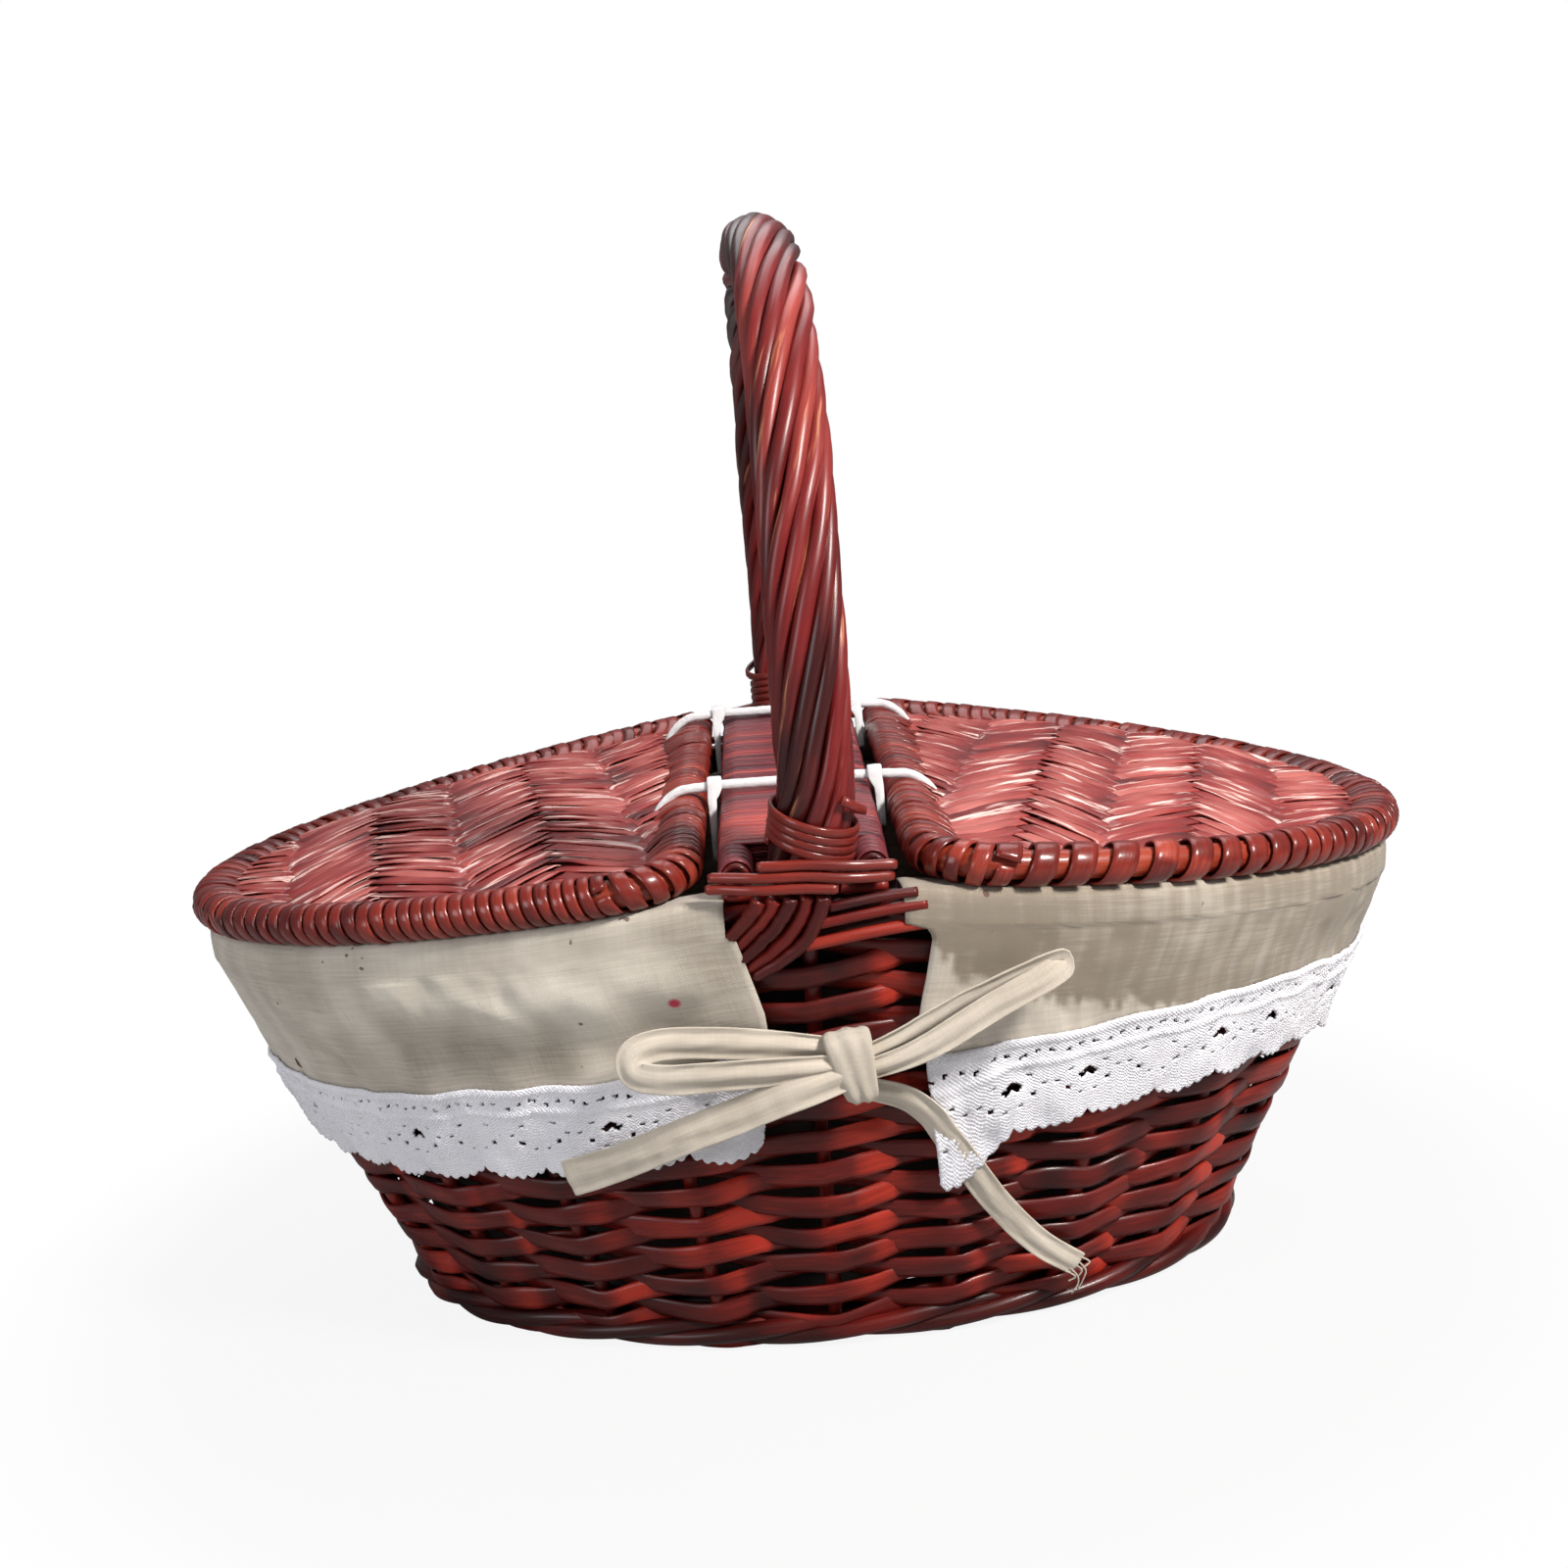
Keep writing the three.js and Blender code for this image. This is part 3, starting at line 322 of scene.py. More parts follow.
class Work:
    """Gathers surfaces into one mesh, with their UVs and tones."""

    def __init__(self, seed=1):
        self.random = np.random.default_rng(seed)
        self.points, self.faces, self.uvs, self.tones, self.count = [], [], [], [], 0

    def surface(self, points, tone=0.5, ring=False, closed=True, shift=True, run=None, across=None):
        """Adds a grid of stations and section points as quads. ring joins the last station to the first, and
        closed joins each section's ends. An open tube gets a face at each end."""
        n, m = points.shape[:2]
        if run is None:
            middle = points.mean(1)
            run = run_along(np.concatenate([middle, middle[:1]]))
        if across is None:
            across = np.linspace(0, 1, m + 1 if closed else m)
        run = run + (self.random.uniform(0, 9) if shift else 0)
        stations, sides = np.arange(n if ring else n - 1), np.arange(m if closed else m - 1)
        i, j = (grid.ravel() for grid in np.meshgrid(stations, sides, indexing="ij"))
        pairs = [(i, j), (i, j + 1), (i + 1, j + 1), (i + 1, j)]
        quads = np.stack([a % n * m + b % m for a, b in pairs], -1) + self.count
        uvs = np.stack([np.stack([run[a], across[b]], -1) for a, b in pairs], 1)
        self.points.append(points.reshape(-1, 3))
        self.faces.extend(quads.tolist())
        self.uvs.append(uvs.reshape(-1, 2))
        tone = np.asarray(tone, float)
        self.tones.append(np.broadcast_to(tone[:, None] if tone.ndim == 1 else tone, (n, m)).ravel())
        if closed and not ring:
            for station, order in ((0, range(m - 1, -1, -1)), (n - 1, range(m))):
                self.faces.append([self.count + station * m + k for k in order])
                self.uvs.append(np.stack([np.full(m, run[station]), across[list(order)]], -1))
        self.count += n * m

    def rod(self, path, hint, section, tone, ring=False, side=-1):
        """Adds a section carried along a path, with its second direction near the hint. Side 1 puts the front's
        rod on the back."""
        across, up = directions(path, hint, ring)
        self.surface(turned_round(sweep(path, across, up, section), side), tone, ring=ring)

    def piece(self, name, finish, body="root", nodes=(), slot=None):
        """Makes the mesh and the object, which rides on its body. Without a body, it stays where it is made."""
        mesh = bpy.data.meshes.new(name)
        mesh.from_pydata(np.concatenate(self.points).tolist(), [], self.faces)
        uvs = np.concatenate(self.uvs).astype(np.float32).ravel()
        mesh.uv_layers.new(name="Strand").data.foreach_set("uv", uvs)
        # The tone is each cane's stain, and on some pieces also painted shade and painted highlights.
        tones = mesh.attributes.new("tone", "FLOAT", "POINT")
        tones.data.foreach_set("value", np.concatenate(self.tones).astype(np.float32))
        mesh.shade_smooth()
        mesh.materials.append(finish)
        made = add_object(name, mesh)
        if body:
            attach(made, body)
        if nodes:
            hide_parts(*nodes)
        pieces_made[name] = len(mesh.polygons)
        print(f"{name}: {pieces_made[name]} faces")
        return made


# %% [markdown]
# A finish is a Principled shader fed by a few noises. The maths is written as plain expressions: a link wraps
# a socket, and adding or multiplying links adds the Math nodes. Any other node comes from `add`.

# %% Shader maths


class Link:
    """A socket of a node tree. Arithmetic on it adds Math nodes."""

    def __init__(self, nodes, socket):
        self.nodes, self.socket = nodes, socket

    def maths(self, operation, *values):
        return self.nodes.add("ShaderNodeMath", {"operation": operation}, dict(enumerate(values)))

    def __add__(self, other):
        return self.maths("ADD", self, other)

    def __sub__(self, other):
        return self.maths("SUBTRACT", self, other)

    def __rsub__(self, other):
        return self.maths("SUBTRACT", other, self)

    def __mul__(self, other):
        return self.maths("MULTIPLY", self, other)

    __radd__, __rmul__ = __add__, __mul__

    def step(self, low, high):
        """0 below low, 1 above high, smooth between."""
        settings = {"interpolation_type": "SMOOTHSTEP"}
        return self.nodes.add("ShaderNodeMapRange", settings, {0: self, 1: low, 2: high})


class Nodes:
    """A node tree that is built by calls."""

    def __init__(self, tree):
        self.tree = tree

    def add(self, kind, settings=None, inputs=None, output=0):
        """Adds a node: its settings first, then the values or links of its sockets."""
        node = self.tree.nodes.new(kind)
        for key, value in (settings or {}).items():
            if key == "stops":
                while len(node.color_ramp.elements) < len(value):
                    node.color_ramp.elements.new(1)
                for element, (place, color) in zip(node.color_ramp.elements, value):
                    element.position, element.color = place, (*color, 1)
            else:
                setattr(node, key, value)
        for key, value in (inputs or {}).items():
            self.join(node.inputs[key], value)
        return Link(self, node.outputs[output])

    def join(self, socket, value):
        """Links a link to a socket, or sets the socket's value. A colour of three numbers gets its alpha."""
        if isinstance(value, Link):
            self.tree.links.new(value.socket, socket)
        else:
            socket.default_value = (*value, 1) if socket.type == "RGBA" and len(value) == 3 else value

    def from_camera(self, seen, other, factor):
        """A Mix Shader of another shader, at factor 0, and what the camera sees, at factor 1."""
        return self.add("ShaderNodeMixShader", None, {0: factor, 1: other, 2: seen})


class Finish(Nodes):
    """A material with one Principled shader."""

    def __init__(self, name, **constants):
        self.material = bpy.data.materials.new(name)
        self.material.use_nodes = True
        super().__init__(self.material.node_tree)
        self.shader = self.tree.nodes["Principled BSDF"]
        self.finished(**constants)

    def finished(self, **values):
        """Sets or links the shader's sockets, whose names have underscores for spaces here."""
        for socket, value in values.items():
            self.join(self.shader.inputs[socket.replace("_", " ")], value)
        return self.material

    def vectors(self, operation, *values, output=0):
        """Vector Math. Its measures, such as a length, come from output 1."""
        inputs = dict(enumerate(values))
        return self.add("ShaderNodeVectorMath", {"operation": operation}, inputs, output)

    def noise(self, vector, scale, detail=3.0, roughness=0.55):
        """Noise at a scale, or drawn out where the scale is one number for each direction."""
        if isinstance(scale, tuple):
            vector, scale = self.vectors("MULTIPLY", vector, scale), 1.0
        inputs = {"Vector": vector, "Scale": scale, "Detail": detail, "Roughness": roughness}
        return self.add("ShaderNodeTexNoise", None, inputs)

    def ramp(self, factor, *stops):
        return self.add("ShaderNodeValToRGB", {"stops": stops}, {0: factor})

    def mix(self, factor, first, second):
        return self.add("ShaderNodeMix", {"data_type": "RGBA"}, {0: factor, 6: first, 7: second}, output=2)

    def strand(self):
        """The piece's own UV map: distance run and way round."""
        return self.add("ShaderNodeUVMap", {"uv_map": "Strand"})

    def tone(self):
        return self.add("ShaderNodeAttribute", {"attribute_name": "tone"}, output=2)

    def place(self):
        """Object coordinates, which are metres from the hamper's middle."""
        return self.add("ShaderNodeTexCoord", output=3)

    def bump(self, height, distance, strength):
        return self.add("ShaderNodeBump", None, {"Height": height, "Distance": distance, "Strength": strength})


# %% [markdown]
# Stained and varnished cane. The real colour is uneven: each cane takes the stain differently, its fibres run
# lengthways as fine dark and light streaks, and the varnish is scuffed through to orange or straw here and
# there. On the lids the same mask paints pale pink highlights where the reeds catch the light. The coat over
# it gives the wet highlights. One function makes the finishes of the whole hamper, from the deep mahogany of
# the wall to the faded brick of the lids.

# %% Cane finishes
fibre_scale, grain_scale = (70, 22, 1), (120, 40, 1)
patch_scale = 26.0
grain_depth = 0.25 * MM


def cane(name, deep, middle, light, worn_and_glint, wear_and_glint_level=0.7, coat=0.26, wear_and_glint_run=(38, 3, 1), coat_blur=0.20):
    """A stained cane: the ramp runs over its tone plus fibre streaks, which are noise drawn out along the UV
    map's run. Where a broad noise is above its level, fibres show the second colour: scuffed varnish, and on
    the lids mostly a painted highlight."""
    finish = Finish(name, Coat_Weight=coat, Coat_Roughness=coat_blur, IOR=1.28)
    strand = finish.strand()
    fibres = finish.noise(strand, fibre_scale, 4.0, 0.6)
    patches = finish.noise(finish.place(), patch_scale, 2.0)
    shade = (finish.tone() - 0.5) * 0.9 + (fibres - 0.5) * 0.5 + (patches - 0.5) * 0.5 + 0.5
    stain = finish.ramp(shade, (0.15, deep), (0.5, middle), (0.85, light))
    rubbed_and_glint = finish.noise(strand, wear_and_glint_run).step(wear_and_glint_level, wear_and_glint_level + 0.1)
    colour = finish.mix(rubbed_and_glint * fibres.step(0.35, 0.6), stain, worn_and_glint)
    gloss = (1 - fibres) * 0.22 + 0.32 + rubbed_and_glint * 0.2
    grain = finish.noise(strand, grain_scale, 2.0)
    return finish.finished(Base_Color=colour, Roughness=gloss, Normal=finish.bump(grain, grain_depth, 0.5))


wall_cane = cane("mahogany cane", (0.022, 0.0015, 0.001), (0.10, 0.006, 0.004), (0.33, 0.022, 0.010),
                 (0.60, 0.17, 0.08), wear_and_glint_level=0.72, coat=0.2)
rod_cane = cane("mahogany rod", (0.030, 0.002, 0.002), (0.14, 0.008, 0.005), (0.31, 0.028, 0.014),
                (0.50, 0.13, 0.04), wear_and_glint_level=0.70)
handle_cane = cane("handle cane", (0.034, 0.003, 0.003), (0.150, 0.010, 0.010), (0.29, 0.043, 0.034),
                   (0.62, 0.27, 0.13), wear_and_glint_level=0.60, coat=0.42, wear_and_glint_run=(20, 3, 1), coat_blur=0.29)
# The lids' pale pink second colour is partly scuffed varnish and mostly a painted highlight where the reeds catch
# the light.
lid_cane = cane("brick cane", (0.07, 0.005, 0.005), (0.25, 0.027, 0.024), (0.46, 0.125, 0.105),
                (0.84, 0.60, 0.54), wear_and_glint_level=0.54, coat=0.24, wear_and_glint_run=(22, 5, 1))
edge_cane = cane("edge cane", (0.045, 0.003, 0.003), (0.185, 0.017, 0.010), (0.37, 0.060, 0.034),
                 (0.55, 0.20, 0.10), wear_and_glint_level=0.70, coat=0.48)
hoop_cane = cane("hoop rod", (0.12, 0.010, 0.005), (0.24, 0.028, 0.012), (0.38, 0.065, 0.028),
                 (0.55, 0.18, 0.07), wear_and_glint_level=0.75, coat=0.4)
bridge_cane = cane("bridge reed", (0.050, 0.007, 0.011), (0.16, 0.024, 0.030), (0.40, 0.06, 0.05),
                   (0.48, 0.18, 0.15), wear_and_glint_level=0.72, coat=0.3)
print(len(bpy.data.materials), "cane finishes")

# %% [markdown]
# Cloth, tape and cord. Linen is a plain weave of uneven threads, so its finish is two sets of fine waves from
# the UV map with slubs, a few stray dark specks, one red mark and broad soft stains. The ribbon is the same
# cloth in cream, and the lace and the cords are white cotton.

# %% Cloth finishes
red_mark = (-39.8 * MM, -119.6 * MM, 125.4 * MM)
red_mark_core, red_mark_edge = 1.1 * MM, 2.6 * MM
speck_colour, red_mark_colour = (0.10, 0.035, 0.03), (0.42, 0.012, 0.045)


def spotted(finish, colour, specks):
    """Specks where a fine noise is above one minus their share, and the red mark by its distance."""
    spots = finish.noise(finish.place(), 260.0, 1.0).step(1 - specks, 1.02 - specks)
    colour = finish.mix(spots * 0.8, colour, speck_colour)
    apart = finish.vectors("DISTANCE", finish.place(), red_mark, output=1)
    return finish.mix(1 - apart.step(red_mark_core, red_mark_edge), colour, red_mark_colour)


def cloth(name, dark, light, thread=0.55 * MM, specks=0.0, depth=0.22 * MM, mottle=0.9):
    """Woven cloth: the bump is the product of two sine waves, one along each way of the UV map, bent a little by
    noise, and the colour follows the threads, slubs drawn out along them and a broad stain."""
    finish = Finish(name, Sheen_Weight=0.15, Sheen_Roughness=0.5, Roughness=0.9)
    strand = finish.strand()
    wander = finish.add("ShaderNodeTexNoise", None, {"Vector": strand, "Scale": 90.0}, output=1)
    bent = finish.vectors("ADD", strand, finish.vectors("MULTIPLY", wander, (thread, thread, 0)))
    waves = finish.vectors("SINE", finish.vectors("MULTIPLY", bent, (2 * math.pi / thread,) * 3))
    one, other = (finish.add("ShaderNodeSeparateXYZ", None, {0: waves}, output=k) for k in range(2))
    weave = one * other * 0.5 + 0.5
    slubs = finish.noise(strand, (60, 1300, 1)) * 0.68 + finish.noise(strand, (1300, 60, 1)) * 0.32
    stains = finish.noise(finish.place(), 22.0)
    shade = (weave - 0.5) * 0.22 + (slubs - 0.5) * 0.7 + (stains - 0.5) * mottle + finish.tone()
    colour = finish.ramp(shade, (0.1, dark), (0.9, light))
    if specks:
        colour = spotted(finish, colour, specks)
    return finish.finished(Base_Color=colour, Normal=finish.bump(weave + slubs, depth, 0.6))


# The bag's outside is near black: painted shade, so that the gaps of the weaving look like deep shadow.
painted_shade_linen = cloth("linen darkened as painted shade", (0.015, 0.008, 0.006), (0.05, 0.035, 0.025))
linen_cloth = cloth("linen", (0.24, 0.20, 0.15), (0.70, 0.64, 0.55), specks=0.218, mottle=1.2)
ribbon_cloth = cloth("cream ribbon", (0.38, 0.325, 0.255), (0.74, 0.665, 0.565), 0.45 * MM)
lace_cloth = cloth("white crochet", (0.62, 0.62, 0.68), (0.90, 0.89, 0.93), 1.1 * MM, depth=0.5 * MM)
cord_cloth = cloth("white cord", (0.66, 0.66, 0.68), (0.90, 0.90, 0.90), 1.0 * MM)
print(len(bpy.data.materials), "finishes in all")

# %% [markdown]
# The wall is plain weaving: twenty-five rows of cane that pass outside one stake and inside the next, each row
# opposite to the one under it, and one more row tucked behind the foot. Each row could be modelled strip by
# strip, but its distance from the stakes is just a wave along the wall. The cane is stiff, so the wave is
# nearly a zigzag: flat between two stakes, with a crease on each.

# %% Side weaving
weave_rows, rows_a_band, cad_rows = 25, 5, 8
bands = weave_rows // rows_a_band
weave_steps = 16
strip_height, strip_thickness = 7.2 * MM, 1.9 * MM
weave_reach = stake_radius + strip_thickness / 2 + 0.1 * MM
strip_dip, strip_climb = 1.5 * MM, 1.3 * MM
crease_sharpness = 0.975
wall_belly = 1.8 * MM
strip_lowest = 0.5 * MM


def belly(share):
    """How far the wall swells out between foot and rim: a sine of the share."""
    return wall_belly * np.sin(np.pi * np.clip(share, 0, 1))


def zigzag(swing):
    """A stiff cane's wave: the arc sine of a sine or cosine, a little below 1, over its own peak."""
    return np.arcsin(crease_sharpness * swing) / np.arcsin(crease_sharpness)


def weave_row(work, row):
    """Off = reach times a zigzag of pi times (place + row). The height goes down with it, where the strip is
    outside a stake, and up with the same zigzag a quarter later, to its right. There the strip also leans
    back, and some of those facets are painted lighter as a highlight. Where the strip passes inside a stake,
    its tone is a little darker as painted shade."""
    place = np.linspace(0, stake_count, stake_count * weave_steps, endpoint=False)
    share = place / stake_count
    phase = np.pi * (place + row) + 0.12 * ring_drift(share, 30 + row, 12)
    wave, climb = zigzag(np.cos(phase)), zigzag(np.sin(phase))
    uneven = 1 + 0.45 * ring_drift(share, 20 + row, 9)
    shift = (strip_climb * climb - strip_dip * wave) * uneven + 0.5 * MM * ring_drift(share, 40 + row)
    height = (row + 0.1) / (weave_rows - 0.4) + shift / wall_height
    angle = wall_angle(place)
    path = wall(angle, height, weave_reach * wave + belly(height) + 0.3 * MM * ring_drift(share, 90 + row))
    out = unit(wall(angle, height, 1 * MM) - wall(angle, height))
    up = unit(wall(angle, height + 0.05) - wall(angle, height))
    # The share of painted highlight on the facets to the right of a stake, which lean back towards the light.
    bright = np.clip(0.25 + 0.9 * ring_drift(share, 260 + row // 4, 14), 0, 1)
    glint_facet = np.clip(np.sin(phase) * (wave > -0.1), 0, 1) * bright
    lean = (0.12 * ring_drift(share, 140 + row) - 0.35 * glint_facet)[:, None]
    up = unit(up + lean * out)
    wide = strip_height * (1 + 0.10 * ring_drift(share, 190 + row, 9) + 0.08 * wave)
    section = stretched_section(flat_section(1.0, strip_thickness, 8, 0.75), wide)
    tone = 0.40 + 0.09 * work.random.normal() + 0.12 * ring_drift(share, 240 + row, 14)
    # Painted highlight on those facets, and a little painted shade where the strip passes inside a stake.
    tone = tone + 0.04 * wave + 0.42 * glint_facet
    points = sweep(path, up, unit(np.cross(np.cross(up, out), up)), section)
    points[..., 2] = np.maximum(points[..., 2], strip_lowest)
    work.surface(points, tone, ring=True)


for band in range(bands):
    work = Work(band)
    hidden_row = 1 if band == 0 else 0
    for row in range(band * rows_a_band - hidden_row, (band + 1) * rows_a_band):
        weave_row(work, row)
    nodes = [f"weave_row_{k + 1:02d}" for k in range(cad_rows) if k * bands // cad_rows == band]
    work.piece(f"side_weave_{band + 1}", wall_cane, nodes=nodes, slot="woven_cane")

# %% [markdown]
# The stakes are round rods that stand in the foot. The foot itself is a wale: three rods that twist round one
# another like a rope, which gives the wavy lower edge, with a flat band behind them. A rope's strand is a
# circle carried round the oval, with its centre turning about the rope's own middle.

# %% Stakes and foot
wale_level, wale_spin, wale_radius, wale_turns = 5.7 * MM, 2.5 * MM, 2.9 * MM, 7
band_inset, band_level = 5.6 * MM, 8.2 * MM


def rope(work, middle, out, strands, spin, radius, turns, share, squash):
    """Strands of a closed rope: each centre is middle + spin times (out cosine + up sine) of its own phase."""
    for k in range(strands):
        phase = (2 * np.pi * (turns * share + k / strands))[:, None]
        path = middle + spin * (out * np.cos(phase) + squash * np.array(upwards) * np.sin(phase))
        swell = 1 + 0.06 * ring_drift(share, 300 + k)[:, None, None]
        # The low tone is painted shade: the foot stands in shadow. The rim's rope, mostly under the linen, gets the
        # same.
        tone = 0.24 + 0.2 * ring_drift(share, 320 + k + strands, 8)
        work.rod(path, out, round_section(radius) * swell, tone, ring=True)


def ring_line(half, angle, height):
    """A line round an oval, and the level directions out of it."""
    line = xyz(*oval(half, angle), height)
    return line, unit(xyz(*oval(half, angle, 1 * MM), height) - line)


def stakes():
    """Straight lines up the wall with its belly. The handle's core stands in for the two middle stakes."""
    work = Work(11)
    share = np.linspace(-0.015, 1 - 1.5 * MM / wall_height, 16)
    for place in range(stake_count):
        if place % (stake_count // 2) == 0:
            continue
        path = wall(wall_angle(float(place)), share, belly(share))
        hint = (np.cos(place), np.sin(place), 0)
        work.rod(path, hint, round_section(stake_radius), work.random.uniform(0.2, 0.7))
    work.piece("side_stakes", rod_cane, nodes=["stake_frame"], slot="stained_rod")


def foot():
    """The wale's rope, and a flat band inside it that closes the foot."""
    work = Work(12)
    share = np.linspace(0, 1, 480, endpoint=False)
    middle, out = ring_line(foot_half, 2 * np.pi * share, wale_level)
    rope(work, middle, out, 3, wale_spin, wale_radius, wale_turns, share, 0.9)
    inner = xyz(*oval(foot_half, 2 * np.pi * share, -band_inset), band_level)
    upright = np.broadcast_to(upwards, inner.shape)
    # The band's very low tone is painted shade inside the rope.
    work.surface(sweep(inner, upright, out, flat_section(14 * MM, 2.4 * MM)), 0.1, ring=True)
    work.piece("foot_wale", wall_cane, nodes=["stake_frame"], slot="stained_rod")


stakes()
foot()

# %% [markdown]
# Under the hamper the base is woven on a grid of sticks. It only shows when the hamper is tipped, but it is
# part of the object, so it gets its rounded sticks and oval rows of cane that wave over and under.

# %% Base
long_sticks, cross_sticks = 3, 5
long_pitch, cross_pitch = 36 * MM, 44 * MM
stick_radius = 2.1 * MM
base_half, base_level = base_high[:2], base_low[2]
base_row_count, base_row_width, base_row_thickness = 12, 5.8 * MM, 1.4 * MM


def base_grid():
    """Sticks both ways, each as long as the oval is there: half length times the root of one minus the squared
    distance from the middle."""
    work = Work(13)
    middle = base_level - clearance - stick_radius
    for count, pitch, way in ((long_sticks, long_pitch, 0), (cross_sticks, cross_pitch, 1)):
        for k in range(count):
            aside = (k - (count - 1) / 2) * pitch
            reach = (base_half[way] - 1.2 * MM) * math.sqrt(1 - (aside / base_half[1 - way]) ** 2)
            path = np.zeros((12, 3))
            path[:, way] = np.linspace(-reach, reach, 12)
            path[:, 1 - way] = aside + 0.6 * MM * drift(path[:, way], 60 + k, 0.2)
            path[:, 2] = middle
            work.rod(path, upwards, round_section(stick_radius), work.random.uniform(0.2, 0.8))
    work.piece("base_grid", rod_cane, nodes=["base_sticks"], slot="stained_rod")


def base_rows():
    """Flat canes on smaller and smaller ovals. Their height is a cosine of the way round, turned over from row
    to row."""
    work = Work(14)
    share = np.linspace(0, 1, 180, endpoint=False)
    for row in range(base_row_count):
        half = np.maximum(base_half - ((row + 0.5) * base_row_width + 0.4 * MM), 3 * MM)
        level = base_level + 1.9 * MM + 0.5 * MM * np.cos(2 * np.pi * (16 * share) + np.pi * row)
        path = xyz(*oval(half, 2 * np.pi * share), level)
        section = flat_section(base_row_width * 0.95, base_row_thickness)
        work.rod(path, upwards, section, work.random.uniform(0.3, 0.7), ring=True)
    work.piece("base_rows", wall_cane, nodes=["base_weave"], slot="woven_cane")


base_grid()
base_rows()

# %% [markdown]
# The rim is a rolled border. Four rods twist round the oval, mostly hidden under the linen, and two short rods
# on each side build it up under the bridge, where they show between the cuffs.

# %% Rim
saddle_half = corners("bridge_rail_right")[1][0]
border_spin, border_radius, border_turns = 2.7 * MM, 2.1 * MM, 24
saddle_rod_radius, saddle_rod_level = 1.7 * MM, rim_height + 1.55 * MM


def rim():
    """A rope on the rim's falling line, and short rods that follow the oval 2 mm inside and outside of it."""
    work = Work(15)
    share = np.linspace(0, 1, 720, endpoint=False)
    angle = 2 * np.pi * share
    height = rim_plane(rim_half[0] * np.cos(angle)) - rim_thickness / 2
    middle, out = ring_line(rim_half, angle, height)
    rope(work, middle, out, 4, border_spin, border_radius, border_turns, share, 0.85)
    x = np.linspace(-saddle_half, saddle_half, 24)
    for end in (-1, 1):
        for off in (-2, 2):
            y = end * (rim_half[1] * np.sqrt(1 - (x / rim_half[0]) ** 2) + off * MM)
            section = round_section(saddle_rod_radius)
            work.rod(xyz(x, y, saddle_rod_level), upwards, section, work.random.uniform(0.3, 0.7))
    work.piece("rolled_rim", rod_cane, nodes=["rim_border"], slot="stained_rod")


rim()

# %% [markdown]
# The handle is an arch over the short side of the oval. Its line climbs from the rim to a shoulder and then
# follows a superellipse, fuller than a true ellipse. Eleven rods twist round a core. A strand is the arch's
# line plus a turning radius, so the whole handle is one formula.

# %% Handle
handle_start = rim_high[2] + 2 * clearance
handle_shoulder, handle_reach, handle_sway = 195 * MM, 122 * MM, 5.3 * MM
handle_crown = corners("handle_bow")[1][2] - 5 * MM
arch_power = 0.87
strand_count, strand_radius, strand_spin = 11, 2.6 * MM, 8.8 * MM
strand_turns = 2.5
core_radius = 6.3 * MM
handle_radius = strand_spin + strand_radius
cad_strands = 8


def handle_line(count=220):
    """Reach and height of the arch: smooth from the saddle to the shoulder, then cosine and sine to the arch's
    power. The back half mirrors the front, but for the front leg's lean to the right, which grows like a sine
    up the leg and dies away towards the crown."""
    t = np.linspace(0, 1, 60, endpoint=False)
    reach = rim_half[1] + (handle_reach - rim_half[1]) * t**2 * (3 - 2 * t)
    leg = xyz(handle_sway * np.sin(np.pi * t / 2), reach, handle_start + (handle_shoulder - handle_start) * t)
    turn = np.linspace(0, np.pi / 2, 400)
    reach = handle_reach * np.maximum(np.cos(turn), 0) ** arch_power
    height = handle_shoulder + (handle_crown - handle_shoulder) * np.sin(turn) ** arch_power
    front = np.concatenate([leg, xyz(handle_sway * (1 - (1 - np.cos(turn)) ** 2), reach, height)])
    front[-1, :2] = 0
    return even(np.concatenate([front * (1, -1, 1), front[-2::-1] * (0, 1, 1)]), count)


arch_line = handle_line()
arch_along = unit(np.gradient(arch_line, axis=0))
arch_side = unit(np.array([1.0, 0, 0]) - arch_along * arch_along[:, :1])
arch_up = np.cross(arch_along, arch_side)
arch_share = np.linspace(0, 1, len(arch_line))
arch_length = run_along(arch_line)[-1]
print("handle length, mm:", round(arch_length / MM))


def handle_core():
    """A tube down the middle of the arch, thinned to a stake's radius where it goes down inside the wall."""
    work = Work(16)
    feet = [wall(end * np.pi / 2, np.linspace(0.01, 1, 12)) for end in (-1, 1)]
    line = np.concatenate([feet[0], arch_line[2:-2], feet[1][::-1]])
    thick = np.full(len(line), core_radius)
    thick[:14] = thick[-14:] = stake_radius
    work.rod(line, (1.0, 0, 0), round_section(1.0, 12) * thick[:, None, None], 0.3)
    work.piece("handle_core", rod_cane, nodes=["handle_bow"], slot="stained_rod")


def handle_painted_shade():
    """How much painted shade darkens the strands, along the arch from its front foot: behind the crown, where the
    far leg lies in shadow, low on the front leg, and in a band just before the crown, so that the coat's
    reflection there looks mauve-grey."""
    behind, low = 0.30 * rise(arch_share, 0.52, 0.62), 0.27 * rise(arch_share, 0.24, 0.10)
    return behind + low + 0.42 * bell(arch_share, 0.47, 0.075)


